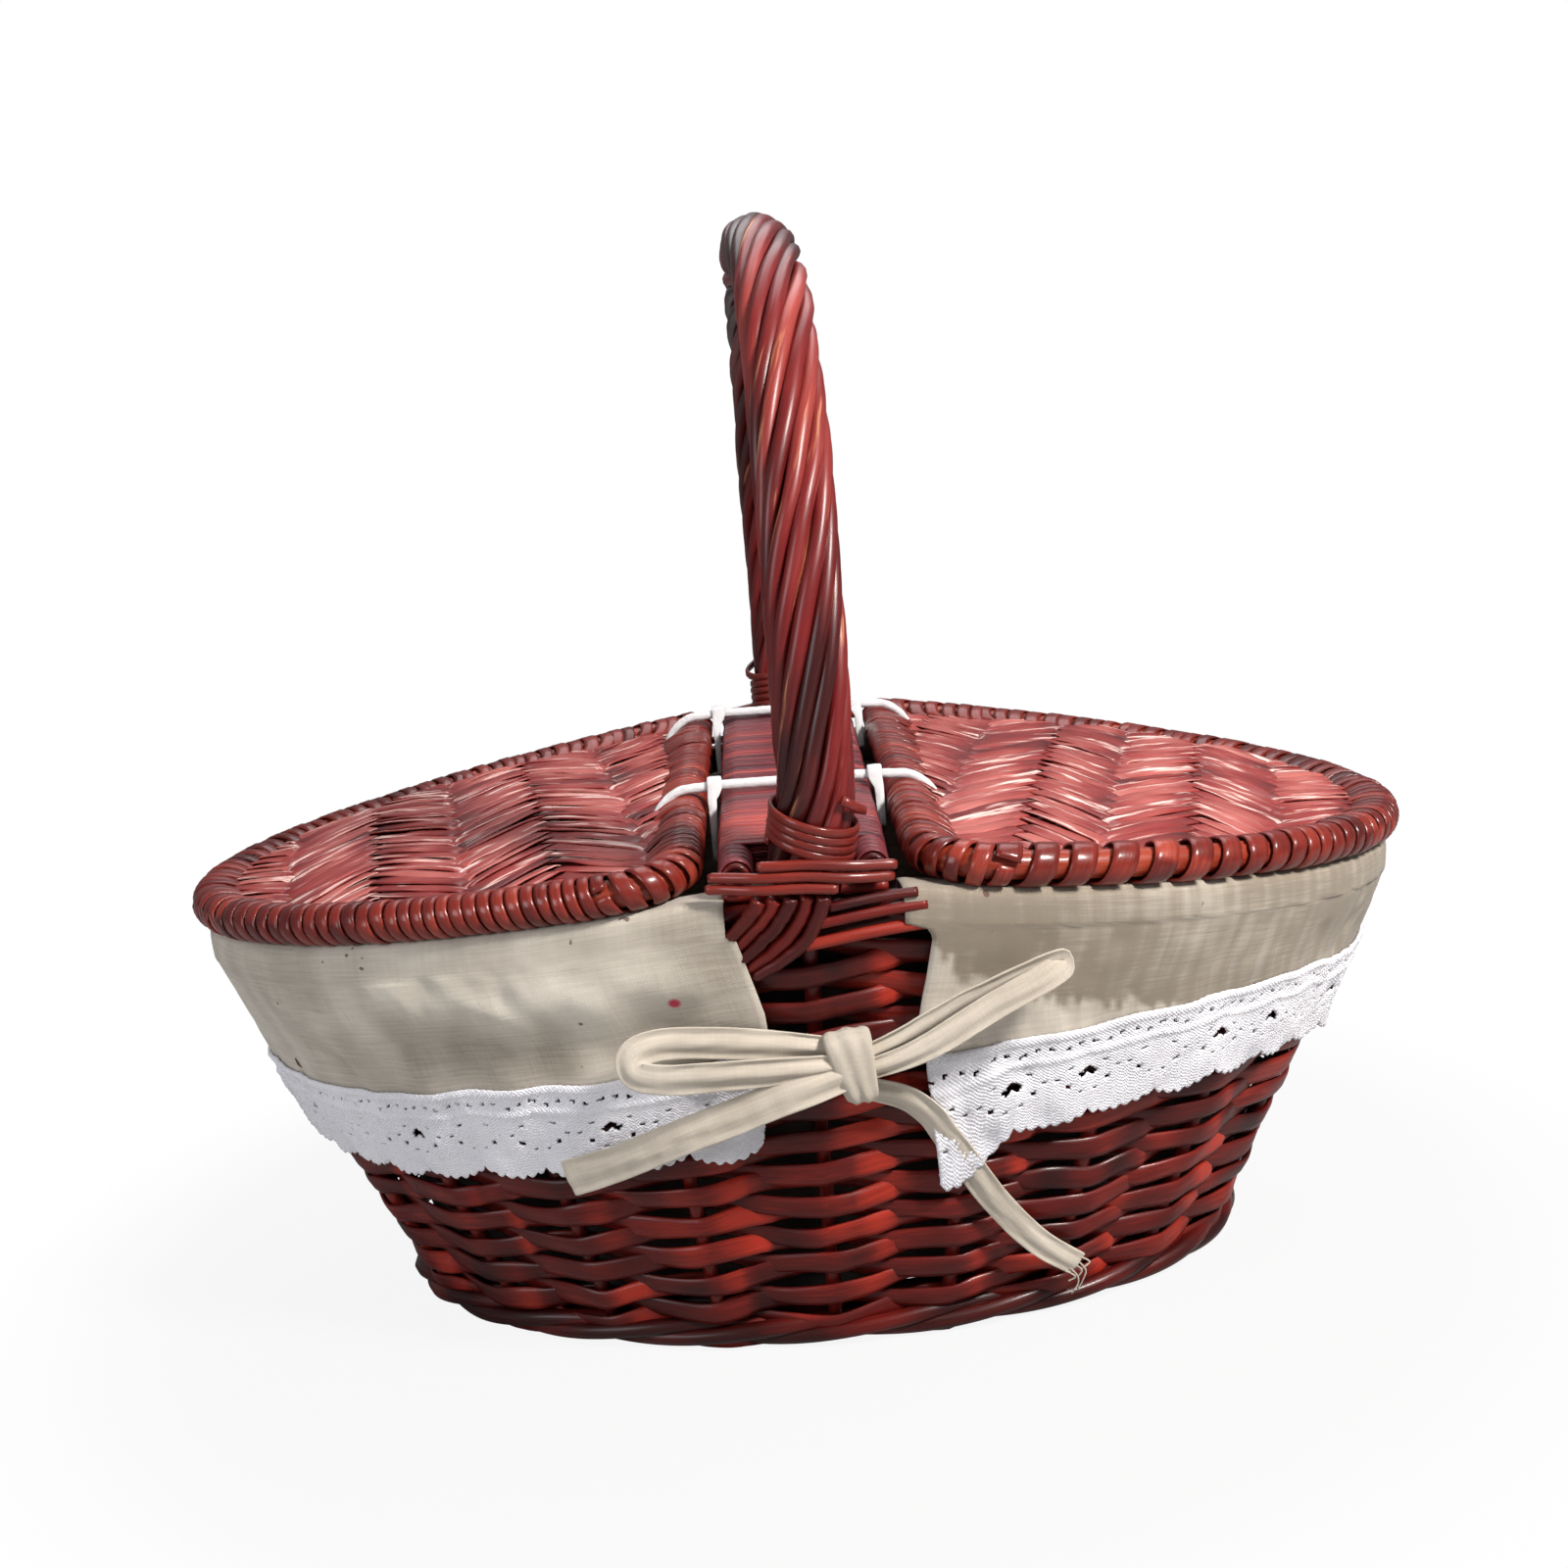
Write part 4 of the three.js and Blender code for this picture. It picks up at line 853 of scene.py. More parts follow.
def handle_strand(k):
    """Line + spin times (side cosine + up sine), with a phase that grows along the arch and wanders a little."""
    work = Work(30 + k)
    phase = 2 * np.pi * (k / strand_count + strand_turns * arch_share) + 0.07 * drift(arch_share, 500 + k, 0.3)
    spin = strand_spin + 0.28 * MM * drift(arch_share, 520 + k, 0.22)
    out = arch_side * np.cos(phase)[:, None] + arch_up * np.sin(phase)[:, None]
    path = arch_line + spin[:, None] * out
    swell = (1 + 0.07 * drift(arch_share, 540 + k, 0.5))[:, None, None]
    # Less the painted shade along the arch.
    tone = 0.54 + 0.15 * work.random.normal() + 0.14 * drift(arch_share, 560 + k, 0.3) - handle_painted_shade()
    work.rod(path, unit(path - arch_line), round_section(strand_radius, 10) * swell, tone)
    nodes = [f"handle_strand_{k + 1:02d}"] if k < cad_strands else []
    work.piece(f"handle_cane_{k + 1:02d}", handle_cane, nodes=nodes, slot="stained_rod")


handle_core()
for k in range(strand_count):
    handle_strand(k)

# %% [markdown]
# Each foot of the handle is bound with a flat reed, nearly five turns with one end tucked in at the top. Below
# it three flat canes are laid over the rim and bow out round the foot. The ends of the handle's own rods
# splay over the wall: five curve down to the left and three slant up to the right. The back is the front
# turned half round.

# %% Bindings at the handle's feet
binding_width, binding_thick, binding_pitch = 2.75 * MM, 1.5 * MM, 2.55 * MM
binding_turns, binding_end_facing, binding_tail = 4.7, 0.98, 1.6
foot_tilt = -0.13
lashing_radius, lashing_low = 1.5 * MM, rim_high[2] + 2 * clearance
lashing_spans = ((-28, 9), (-27, 25), (-13, 26))


def read(values, place):
    """Rows of an array at places counted in rows, straight between them."""
    return np.stack([np.interp(place, np.arange(len(values)), column) for column in values.T], -1)


def foot_binding(name, side):
    """A helix round the handle's own line: its middle climbs the line, and the radius turns about it. The last
    part of a turn climbs away from the others and shows its end."""
    work = Work(50)
    around = handle_radius + 0.35 * MM + binding_thick / 2
    turn = np.linspace(0, 2 * np.pi * binding_turns, int(30 * binding_turns))
    left = turn[-1] - turn
    facing = left - binding_end_facing
    climb = 3 * 2 * lashing_radius + 1.5 * MM + binding_pitch * turn / (2 * np.pi)
    climb = climb + foot_tilt * around * np.cos(facing) + 6.5 * MM * rise(left, binding_tail, 0) ** 1.3
    at = climb / arch_length * (len(arch_line) - 1)
    if side > 0:
        at = len(arch_line) - 1 - at
    middle, line_side, line_up = (read(values, at) for values in (arch_line, arch_side, arch_up))
    out = -side * line_side * np.cos(facing)[:, None] + line_up * np.sin(facing)[:, None]
    lift = around + 0.1 * MM * drift(turn, 51, 9) + 1.6 * MM * np.sin(np.pi * rise(left, 0, binding_tail))
    path = middle + out * lift[:, None]
    work.rod(path, out, flat_section(binding_width, binding_thick, 10, 0.85), 0.42)
    work.piece(f"handle_binding_{name}", edge_cane, nodes=[f"foot_binding_{name}"], slot="stained_rod")


def foot_lashing(name, side):
    """Three flat canes, each a smooth line past the bridge's rails and out round the handle's foot, by a flat
    bell of x. To the right of the middle they run slightly down, by a hyperbola of x."""
    work = Work(52)
    near = -corners("bridge_rail_right")[0][1] + 2 * clearance + lashing_radius
    far = rim_half[1] + handle_radius + 2 * clearance + lashing_radius
    for k, (left, right) in enumerate(lashing_spans):
        x = np.linspace(left, right, 40) * MM
        y = -(near + (far - near) * bell(x, 0, 21 * MM, 4))
        level = lashing_low + lashing_radius * (2 * k + 1) + (0.4 + 0.35 * k) * MM
        fall = foot_tilt / 2 * (np.hypot(x, 3 * MM) + x)
        z = level + 0.1 * MM * drift(x, 53 + k, 0.08) + fall
        cut = np.where(np.abs(np.linspace(-1, 1, len(x))) > 0.99, 0.75, 1)[:, None, None]
        section = flat_section(3.1 * MM, 2.7 * MM, 10, 0.8)[:, ::-1] * cut
        work.rod(xyz(x, y, z), upwards, section, work.random.uniform(0.3, 0.55), side=side)
    work.piece(f"rim_lashing_{name}", edge_cane, nodes=[f"foot_lashing_{name}"], slot="stained_rod")


# %% Rods that splay from the feet
slanted_rods = (((-1, 141.7), (34.5, 144.5), 2.0), ((2, 148.0), (33.5, 150.4), 1.8),
                ((6, 152.9), (31, 154.4), 1.5))
curved_rods = (((4.7, 157), (2.5, 141), (-16, 132)), ((0.4, 157), (-2.8, 143.5), (-18, 134.2)),
               ((-4, 157), (-8, 147), (-19.2, 137.6)), ((-8.3, 157), (-12, 149.5), (-20.6, 141.2)),
               ((-12.7, 157), (-15.5, 151.5), (-22, 144.8)))
curved_rod_lifts, curved_rod_tones = (0, -0.9, 0.3, -0.7, 0.2), (0.25, 0.45, 0.2, 0.5, 0.35)


def on_front(x, height, off):
    """A point off the front of the wall, from its x and height: the wall's share follows from the height, and
    the angle from x over the half length there."""
    x, height, off = np.broadcast_arrays(*(np.asarray(v, float) for v in (x, height, off)))
    half = wall_half((height - foot_thickness) / wall_height)
    return xyz(*oval(half, -np.arccos(np.clip(x / half[0], -1, 1)), off), height)


def splayed_rods(name, side):
    """A slanted rod is given by its ends, x and height, and its radius in millimetres, and it lies closer to
    the wall along its run, to go under the cuff. A curved one is the quadratic curve of its three points."""
    work = Work(54)
    t = np.linspace(0, 1, 24)
    for k, ((x0, z0), (x1, z1), radius) in enumerate(slanted_rods):
        x, height = x0 + (x1 - x0) * t, z0 + (z1 - z0) * t + 0.5 * np.sin(np.pi * t)
        path = on_front(x * MM, height * MM, 4.6 * MM + 3.2 * MM * bell(t, 0, 0.6))
        work.rod(path, frontwards, round_section(radius * MM), 0.75 - 0.25 * k, side=side)
    for k, (start, bend, end) in enumerate(curved_rods):
        flat = (1 - t)[:, None] ** 2 * start + (2 * t * (1 - t))[:, None] * bend + t[:, None] ** 2 * end
        flat = flat + 0.25 * np.stack([drift(t, 540 + k, 0.5), drift(t, 550 + k, 0.5)], -1)
        path = on_front(*(flat * MM).T, (9.0 - 4.0 * t**2 + curved_rod_lifts[k]) * MM)
        swell = (1.08 - 0.2 * t**2)[:, None, None]
        work.rod(path, frontwards, round_section(2.05 * MM) * swell, curved_rod_tones[k], side=side)
    work.piece(f"splayed_rods_{name}", rod_cane, nodes=[f"foot_rods_{name}"], slot="stained_rod")


for name, side in (("front", -1), ("back", 1)):
    foot_binding(name, side)
    foot_lashing(name, side)
    splayed_rods(name, side)

# %% [markdown]
# The bridge is two rails close-wound with flat reed. The winding is a helix whose section is a flat rounded
# box instead of a circle: the outline's point and normal repeat, while y climbs steadily. Each turn differs
# a little in height and stain, which gives the lines across the bridge.

# %% Bridge
rail_low, rail_high = corners("bridge_rail_right")
rail_radius = (rail_high[0] - rail_low[0]) / 2
rail_place, rail_level = (rail_high[0] + rail_low[0]) / 2, (rail_high[2] + rail_low[2]) / 2
winding_low, winding_high = corners("bridge_winding")
rail_bare = winding_low[1] - rail_low[1] - 2.2 * MM
bridge_loops, loop_steps = 46, 26
bridge_pitch = (winding_high[1] - winding_low[1]) / bridge_loops
bridge_reed_thick, bridge_corner = 1.0 * MM, 4 * MM
rail_end_turns, rail_end_steps = 3.6, 80


def rounded_box(half_width, half_height, corner, count):
    """Outline and outward normals of a box with round corners, spaced evenly."""
    turn = np.linspace(0, 2 * np.pi, 400, endpoint=False)
    normal = np.stack([np.cos(turn), np.sin(turn)], -1)
    points = np.sign(normal) * (half_width - corner, half_height - corner) + normal * corner
    outline = even(points, count, ring=True)
    ahead = np.roll(outline, -1, 0) - np.roll(outline, 1, 0)
    return outline, unit(np.stack([ahead[:, 1], -ahead[:, 0]], -1))


def bridge_pole(hand, side):
    """A straight rail. Its cut ends are dished: the outline goes back in to a fifth of the radius."""
    work = Work(60)
    hollow = np.array([3.0, 2.8, 0.1, 0, 0.5]) * MM
    inner = np.array([0.2, 0.62, 0.66, 0.88, 1.0])
    y = np.concatenate([rail_low[1] + hollow, [0], -rail_low[1] - hollow[::-1]])
    thick = np.concatenate([inner, [1], inner[::-1]]) * rail_radius * 0.98
    path = xyz(side * rail_place, y, rail_level)
    across, up = (np.broadcast_to(way, path.shape) for way in ([1.0, 0, 0], upwards))
    work.surface(sweep(path, across, up, round_section(1.0, 20) * thick[:, None, None]), 0.25)
    work.piece(f"bridge_pole_{hand}", rod_cane, nodes=[f"bridge_rail_{hand}"], slot="stained_rod")


def close_winding(work):
    """Outline point + normal times each turn's own lift, with y growing from one end to the other. The front
    left part is lighter: painted sunlight, with the rest of the winding in the handle's shadow."""
    inset = bridge_reed_thick / 2
    half_height = (winding_high[2] - winding_low[2]) / 2 - inset
    outline, normal = rounded_box(winding_high[0] - inset, half_height, bridge_corner, loop_steps)
    station = np.arange(bridge_loops * loop_steps - loop_steps // 2)
    turn, at = station / loop_steps, station % loop_steps
    heights = work.random.uniform(-0.25, 0.12, bridge_loops + 1)
    lift = np.interp(turn, np.arange(bridge_loops + 1) + 0.5, heights)[:, None] * MM
    flat = outline[at] + normal[at] * lift
    y = winding_low[1] + bridge_pitch * (0.5 + turn * (bridge_loops - 1) / (bridge_loops - 0.5))
    out = xyz(normal[at, 0], 0, normal[at, 1])
    along = np.broadcast_to([0, 1.0, 0], out.shape)
    # Painted sunlight on the front left part of the winding.
    light = np.clip(-y / abs(winding_low[1]) - 0.2, 0, 1) * np.clip(0.5 - flat[:, 0] / (20 * MM), 0, 1)
    tone = np.repeat(work.random.normal(0.42, 0.16, bridge_loops), loop_steps)[: len(at)] + 0.5 * light
    path = xyz(flat[:, 0], y, flat[:, 1] + rail_level)
    work.surface(sweep(path, along, out, flat_section(bridge_pitch * 0.97, bridge_reed_thick)), tone)


def rail_end_winding(work, hand, end):
    """A round helix on one rail's end, beyond the winding of both."""
    turn = np.linspace(0, 2 * np.pi * rail_end_turns, rail_end_steps)
    part = turn / turn[-1]
    y = end * (abs(winding_low[1]) + 1.5 * MM * (part - 1) + part * rail_bare)
    out = xyz(np.cos(turn), 0, np.sin(turn))
    path = xyz(hand * rail_place, y, rail_level) + out * (rail_radius + bridge_reed_thick / 2)
    work.rod(path, out, flat_section(bridge_pitch * 1.05, bridge_reed_thick), 0.45)


bridge_pole("right", 1)
bridge_pole("left", -1)
bridge_work = Work(61)
close_winding(bridge_work)
for hand, end in ((1, -1), (-1, -1), (1, 1), (-1, 1)):
    rail_end_winding(bridge_work, hand, end)
bridge_work.piece("bridge_reed", bridge_cane, nodes=["bridge_winding"], slot="bridge_cane")

# %% [markdown]
# Each lid is made in its own plane: `out` runs from its straight edge towards its round end, `across` along the
# edge, and `height` up from its underside. One function then sets it on the falling rim. The left lid has the
# right one's outline seen in a mirror, with a wide corner at the front and a tight one at the back.

# %% Lid shape
lid_overhang = 10.5 * MM
lid_front_corner, lid_back_corner = 24 * MM, 13 * MM
band_radius = 6 * MM
hoop_radius = 4.4 * MM
lid_seat = rim_height + 1.8 * MM
panel_crown = 4.5 * MM
lid_half = (rim_half + lid_overhang) / (math.cos(lid_fall), 1)
lid_start = lid_gap / 2 / math.cos(lid_fall)


def on_lid(side, out, across, height):
    """From the lid's plane to the hamper: a turn by the lids' fall about the straight edge, and x the other way
    for the left lid."""
    x = lid_gap / 2 + out * math.cos(lid_fall) + height * math.sin(lid_fall)
    z = lid_seat - out * math.sin(lid_fall) + height * math.cos(lid_fall)
    return xyz(side * x, across, z)


def lid_outline(inset, count=900):
    """The D-shaped edge moved inwards: an oval arc, two round corners that touch it and the straight edge. The
    arc's end is where a circle of the corner's radius fits between the oval and the edge, found by halving."""
    arc_ends, rounds = [], []
    for radius in (lid_front_corner, lid_back_corner):
        low, high = 0.0, np.pi / 2
        for halving in range(40):
            middle = (low + high) / 2
            fits = oval(lid_half, middle, -radius)[0] - lid_start > radius
            low, high = (middle, high) if fits else (low, middle)
        centre = np.array(oval(lid_half, low, -radius)) - (lid_start, 0)
        touch = np.array(oval(lid_half, low)) - (lid_start, 0) - centre
        turn = np.linspace(math.atan2(touch[1], touch[0]), np.pi, 60)
        arc_ends.append(low)
        rounds.append(centre + max(radius - inset, 0.3 * MM) * np.stack([np.cos(turn), np.sin(turn)], -1))
    arc = oval(lid_half, np.linspace(-arc_ends[0], arc_ends[1], 500), -inset)
    arc = np.stack(arc, -1) - (lid_start, 0)
    return even(np.concatenate([arc, rounds[1], rounds[0][::-1] * (1, -1)]), count, ring=True)


def inside(points, outline):
    """Which points lie inside a convex outline that runs the way of the angles: left of every side of it."""
    ahead = np.roll(outline, -1, 0) - outline
    away = points[:, None] - outline[None]
    return (ahead[:, 0] * away[..., 1] - ahead[:, 1] * away[..., 0] > 0).all(1)


lid_line = lid_outline(band_radius)
lid_run = np.linalg.norm(lid_line - np.roll(lid_line, 1, 0), axis=1).sum()
lid_length = lid_line[:, 0].max()
lid_ahead = np.roll(lid_line, -1, 0) - np.roll(lid_line, 1, 0)
lid_inward = unit(np.stack([-lid_ahead[:, 1], lid_ahead[:, 0]], -1))
print("lid edge, mm:", round(lid_run / MM))

# %% [markdown]
# A lid's edge is a hoop rod wound with flat cane. The winding is a helix again: each turn is a loop that is
# round over the hoop and drawn out to a point where it dives between the panel's reeds. Its pitch changes
# along the edge. On the real right lid the turns near the front corner are broad and stand apart, so that
# the bare hoop shows between them.

# %% Lid edges
winding_steps = 20
winding_thick = 1.25 * MM
widest_strip = 5.3 * MM
end_stretch = 60 * MM


def winding_pitch(share, hand):
    """Millimetres from turn to turn along the edge, share 0 to 1 from the start of the round end's arc."""
    pitch = 5.9 + 0.7 * ring_drift(share, 71 if hand == "right" else 72, 8)
    if hand == "right":
        return pitch + 6.5 * bell(share, 0.06, 0.075, 4)
    return 0.88 * (pitch + 0.5 - 1.7 * bell(share, 0.03, 0.1, 4))


def lid_hoop(hand, side):
    """A tube round the outline, level with the middle of its winding."""
    work = Work(70)
    path = on_lid(side, *lid_line[::3].T, band_radius)
    inwards = unit(on_lid(side, *(lid_line + lid_inward * MM)[::3].T, band_radius) - path)
    work.rod(path, inwards, round_section(hoop_radius, 10), 0.55, ring=True)
    work.piece(f"lid_{hand}_rod", hoop_cane, body=f"lid_{hand}", nodes=[f"lid_{hand}_hoop"], slot="stained_rod")


def on_edge(where):
    """Places on the outline and its inward directions at places counted in its points, which close a ring."""
    first, part = np.floor(where).astype(int) % len(lid_line), (where % 1)[:, None]
    after = (first + 1) % len(lid_line)
    return [values[first] * (1 - part) + values[after] * part for values in (lid_line, lid_inward)]


def lid_winding(hand, side):
    """The loop's inward reach is its radius times minus the cosine, about 1.8 times longer on the inner half,
    and its height the radius times the sine, flatter there. The sine also slants each loop along the edge."""
    numbers = np.arange(len(lid_line))
    pitch = winding_pitch(numbers / len(lid_line), hand) * MM
    turns = np.concatenate([[0], np.cumsum(lid_run / len(lid_line) / pitch)])
    count = int(turns[-1])
    phase = np.arange(count * winding_steps) / winding_steps
    loop = np.floor(phase).astype(int)
    where = np.interp(phase, turns * count / turns[-1], np.arange(len(lid_line) + 1)) % len(lid_line)
    turn = 2 * np.pi * phase + 0.5
    rear = np.interp(where, numbers, rise(lid_line[:, 1], 0, end_stretch))
    front = np.interp(where, numbers, rise(-lid_line[:, 1], 0, end_stretch)) * (hand == "right")
    far = np.interp(where, numbers, np.clip(lid_line[:, 0] / lid_length - 0.55, 0, 1))
    wide = np.interp(where, numbers, pitch)

    random = np.random.default_rng(73 + side)
    wide = np.minimum(wide * 0.94, widest_strip + 0.24 * wide) * random.uniform(0.88, 1.04, count)[loop]
    reach = random.uniform(1.55, 2.15, count)[loop]
    swell = random.uniform(0.96, 1.05, count)[loop]
    slant = 0.16 * wide * (1 - front) + 5.5 * MM * rear * random.uniform(0.6, 1.2, count)[loop]
    tone = 0.48 + random.normal(0, 0.12, count)[loop] * (1 - 0.5 * rear) - 0.10 * rear - 0.4 * far

    inner = np.cos(turn) < 0
    inwards = -band_radius * 0.97 * np.cos(turn) * np.where(inner, reach, swell)
    flatter = (1 - 0.38 * np.where(inner, np.cos(turn) ** 2, 0)) * (1 - 0.12 * rear)
    height = band_radius + band_radius * 0.95 * swell * np.sin(turn) * flatter
    middle, towards = on_edge(where)
    ahead = np.stack([towards[:, 1], -towards[:, 0]], -1)
    flat = middle + towards * inwards[:, None] + ahead * (slant * np.sin(turn))[:, None]
    path = on_lid(side, *flat.T, height)
    beside = unit(on_lid(side, *(flat + ahead * MM).T, height) - path)
    along = unit(np.gradient(path, axis=0))
    beside = unit(beside - along * (beside * along).sum(1, keepdims=True))
    out = np.cross(along, beside)
    out = out * np.sign(((path - on_lid(side, *middle.T, band_radius)) * out).sum(1).mean())
    work = Work(74)
    section = stretched_section(flat_section(1.0, winding_thick, 8, 0.75), wide)
    work.surface(sweep(path, beside, out, section), tone)
    nodes = [f"lid_{hand}_winding"]
    work.piece(f"lid_{hand}_binding", edge_cane, body=f"lid_{hand}", nodes=nodes, slot="lid_binding")
    print(f"lid {hand}: {count} turns of cane")


for hand, side in (("right", 1), ("left", -1)):
    lid_hoop(hand, side)
    lid_winding(hand, side)

# %% [markdown]
# The panels are twilled. Two sets of flat reeds cross, and each reed floats over several of the others and then
# dives under as many, one step later than its neighbour. The floats line up in columns that slant one way and
# then the other, the herringbone of the photograph. Whether a reed is on top is a rule on two whole numbers,
# so the height along a reed is that rule, smoothed from crossing to crossing.

# %% Lid panels
reed_pitch, reed_width, reed_thickness = 5.6 * MM, 6.5 * MM, 0.7 * MM
float_length = 7
panel_level = 6.9 * MM
reed_lift = 0.62 * MM
reed_step, longest_half, widest_half = 1.9 * MM, 320 * MM, 300 * MM
panel_inset = band_radius + 3.2 * MM


def crown(points):
    """Height of the panel's swell over the middle of the lid: one minus the squared distance, on an oval."""
    half = np.array([lid_length / 2, lid_line[:, 1].max()])
    return panel_crown * np.maximum(1 - (((points - (lid_length / 2, 0)) / half) ** 2).sum(1), 0)


def over(number, crossing, own):
    """1 where a reed is over and -1 where it is under, by its own number less the crossing's, modulo twice the
    float. The second set has the two numbers and the answer the other way round."""
    ahead = number - crossing if own == 0 else crossing - number
    first = np.mod(ahead, 2 * float_length) < float_length
    return np.where(first == (own == 0), 1.0, -1.0)


def reed_height(number, crossing, own):
    """The rule at the last crossing and at the next, with a smooth step between them."""
    cell = np.floor(crossing)
    part = rise(crossing - cell, 0.15, 0.85)
    part = part * part * (3 - 2 * part)
    return over(number, cell, own) * (1 - part) + over(number, cell + 1, own) * part


def lid_panel(hand, side, slant, spread):
    """Reeds of both sets. A reed is a straight line in the lid's plane, cut off at the edge, whose level is the
    panel's plus the crown and the lift of its crossings. Along it, the crossing number grows evenly."""
    work = Work(80)
    random = np.random.default_rng(81 + side)
    border = lid_outline(panel_inset, 160)
    ways = [np.array([math.cos(slant + k * spread), math.sin(slant + k * spread)]) for k in (1, -1)]
    normals = [np.array([-way[1], way[0]]) for way in ways]
    t = np.arange(-longest_half, longest_half, reed_step)
    reeds = int(widest_half / reed_pitch)
    for own, (way, normal) in enumerate(zip(ways, normals)):
        for number in range(-reeds, reeds):
            line = normal * (number + 0.5) * reed_pitch + t[:, None] * way
            line = line[inside(line, border)]
            if len(line) < 5:
                continue
            crossing = line @ normals[1 - own] / reed_pitch - 0.5
            height = reed_height(number, crossing, own)
            arch = np.abs(np.sin(np.pi * (number - crossing) / float_length))
            run = line @ way
            level = panel_level + crown(line) + reed_lift * height * (1 + 0.6 * arch)
            level = level + 0.35 * MM * drift(run, 900 + number + 500 * own, 0.12)
            line = line + normal * 0.35 * MM * drift(run, 1900 + number + 500 * own, 0.2)[:, None]
            path = on_lid(side, *line.T, level)
            across, up = directions(path, unit(on_lid(side, *line.T, level + MM) - path))
            roll = random.normal(0.05, 0.07) + 0.06 * drift(run, 2900 + number, 0.06)
            narrow = 0.78 if random.uniform() < 0.1 else 1
            width = reed_width * narrow * random.uniform(0.94, 1.04)
            # Painted highlight: a reed on top is lighter towards the middle of its float, where it arches highest.
            tone = random.normal(0.36, 0.11) + 0.1 * drift(run, 3900 + number, 0.08) + 0.3 * arch * (height > 0)
            section = flat_section(width, reed_thickness, 8, 0.45)
            work.surface(sweep(path, *tilted(across, up, roll), section), tone)
    work.piece(f"lid_{hand}_twill", lid_cane, body=f"lid_{hand}", nodes=[f"lid_{hand}_panel"], slot="lid_weave")


lid_panel("right", 1, math.radians(-12), math.radians(50))
lid_panel("left", -1, math.radians(-9), math.radians(46))

# %% [markdown]
# The hinges are cotton cords. One at the front and one at the back lie over both lids and the bridge, each end
# pushed into a lid's weaving. A lid turns about the gap beside the bridge. Each cord is made in two halves, and
# flat ties hold them down at the bridge's edges.

# %% Hinge cords and ties
cord_radius, cord_stations = 1.65 * MM, 40
front_cord, back_cord = -33 * MM, 96 * MM
bridge_edge, bridge_top = winding_high[0], winding_high[2]
hinge_x = abs(frame["joints"][0]["pos_m"][0])
cord_knots_on_lid = ((2.5, 13.7), (6, 13.8), (9.5, 12.7), (12.8, 10.6), (15.2, 8.2), (16.5, 6.2))


def bend_with_lid(made):
    """Bakes the piece's transform into its mesh; nothing bends it with the lid."""
    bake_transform(made)


def hinge_cord(end, place, hand, side):
    """Half a cord: knots from the bridge's middle over its edge and the hoop down into the reeds, then a tube of
    lobes that twist along it and a radius that gets less towards the end."""
    height = bridge_top + cord_radius + 0.6 * MM
    knots = [(side * x, place, height) for x in (clearance / 2, bridge_edge * 0.55, bridge_edge - 2 * MM)]
    knots += [tuple(on_lid(side, out * MM, place, above * MM)) for out, above in cord_knots_on_lid]
    path = smooth_path(knots, cord_stations)
    share = np.linspace(0, 1, cord_stations)[:, None]
    sides = 2 * np.pi * np.arange(12) / 12
    lobes = (0.93 + 0.09 * np.abs(np.cos(sides[None] * 1.5 - 34 * share))) * (1 - 0.35 * share**6)
    work = Work(85)
    section = np.stack([np.cos(sides) * lobes, np.sin(sides) * lobes], -1) * cord_radius
    work.rod(path, (0, 1.0, 0), section, 0.6)
    nodes = [f"hinge_cord_{end}_{hand}"]
    made = work.piece(f"cord_{end}_{hand}", cord_cloth, body=None, nodes=nodes, slot="white_cord")
    bend_with_lid(made)


def hinge_tie(end, place, hand, side):
    """A flat tape: knots go over the cord and down into the gap, a little forwards, and the width gets less on
    the way down."""
    drop, forward, foot_width = (19, 11, 1.6) if hand == "left" else (13, 6, 2.6)
    knots = [(2.4, -1.6), (1.8, -4.0), (0, -4.9), (-2.1, -4.0), (-2.9, -1.6), (-3.1 - 0.4 * forward, drop * 0.45),
             (-3.1 - forward, drop)]
    flat = smooth_path(knots, 30) * MM
    depth = rise(flat[:, 1], 0, drop * MM) ** 0.8
    hanging = np.clip(flat[:, 1] / (3 * MM) + 0.6, 0, 1)
    path = xyz(side * (hinge_x - 1.0 * MM * (1 - hanging)), place + flat[:, 0], bridge_top - flat[:, 1])
    wide = (4.7 - 1.5 * hanging - (3.2 - foot_width) * depth) * MM
    through, across = directions(path, (-1.0, 0, 0))
    work = Work(86)
    section = stretched_section(flat_section(1.0, 0.9 * MM, 10, 0.5), wide)
    work.surface(sweep(path, across, -through, section), 0.6)
    nodes = [f"hinge_tie_{end}_{hand}"]
    made = work.piece(f"tie_{end}_{hand}", cord_cloth, body=None, nodes=nodes, slot="white_cord")
    bend_with_lid(made)


for end, place in (("front", front_cord), ("back", back_cord)):
    for hand, side in (("left", -1), ("right", 1)):
        hinge_cord(end, place, hand, side)
        hinge_tie(end, place, hand, side)

# %% [markdown]
# The liner is linen. Inside it is a bag that follows the wall and covers the base. Its outer side is near
# black as painted shade, so the gaps of the weaving look dark, and its inner side is clean linen. At the rim
# it folds out over the border as two cuffs, parted at the handle's feet. A cloth is a surface with two
# parameters: how far along the rim, and how far down from its top. Solidify gives it its thickness.

# %% Liner
lining = rim_breadth / 2 + 1.1 * MM
cloth_off = 6.6 * MM
seam_drop = rim_thickness
linen_thickness = 0.9 * MM
bag_sag = 7 * MM


def thicken(made, thickness):
    """Half of the thickness on each side of the surface."""
    solid = made.modifiers.new("thickness", "SOLIDIFY")
    solid.thickness, solid.offset = thickness, 0
    return solid


def soften(made):
    """One level of subdivision."""
    smooth = made.modifiers.new("soften", "SUBSURF")
    smooth.levels = smooth.render_levels = 1


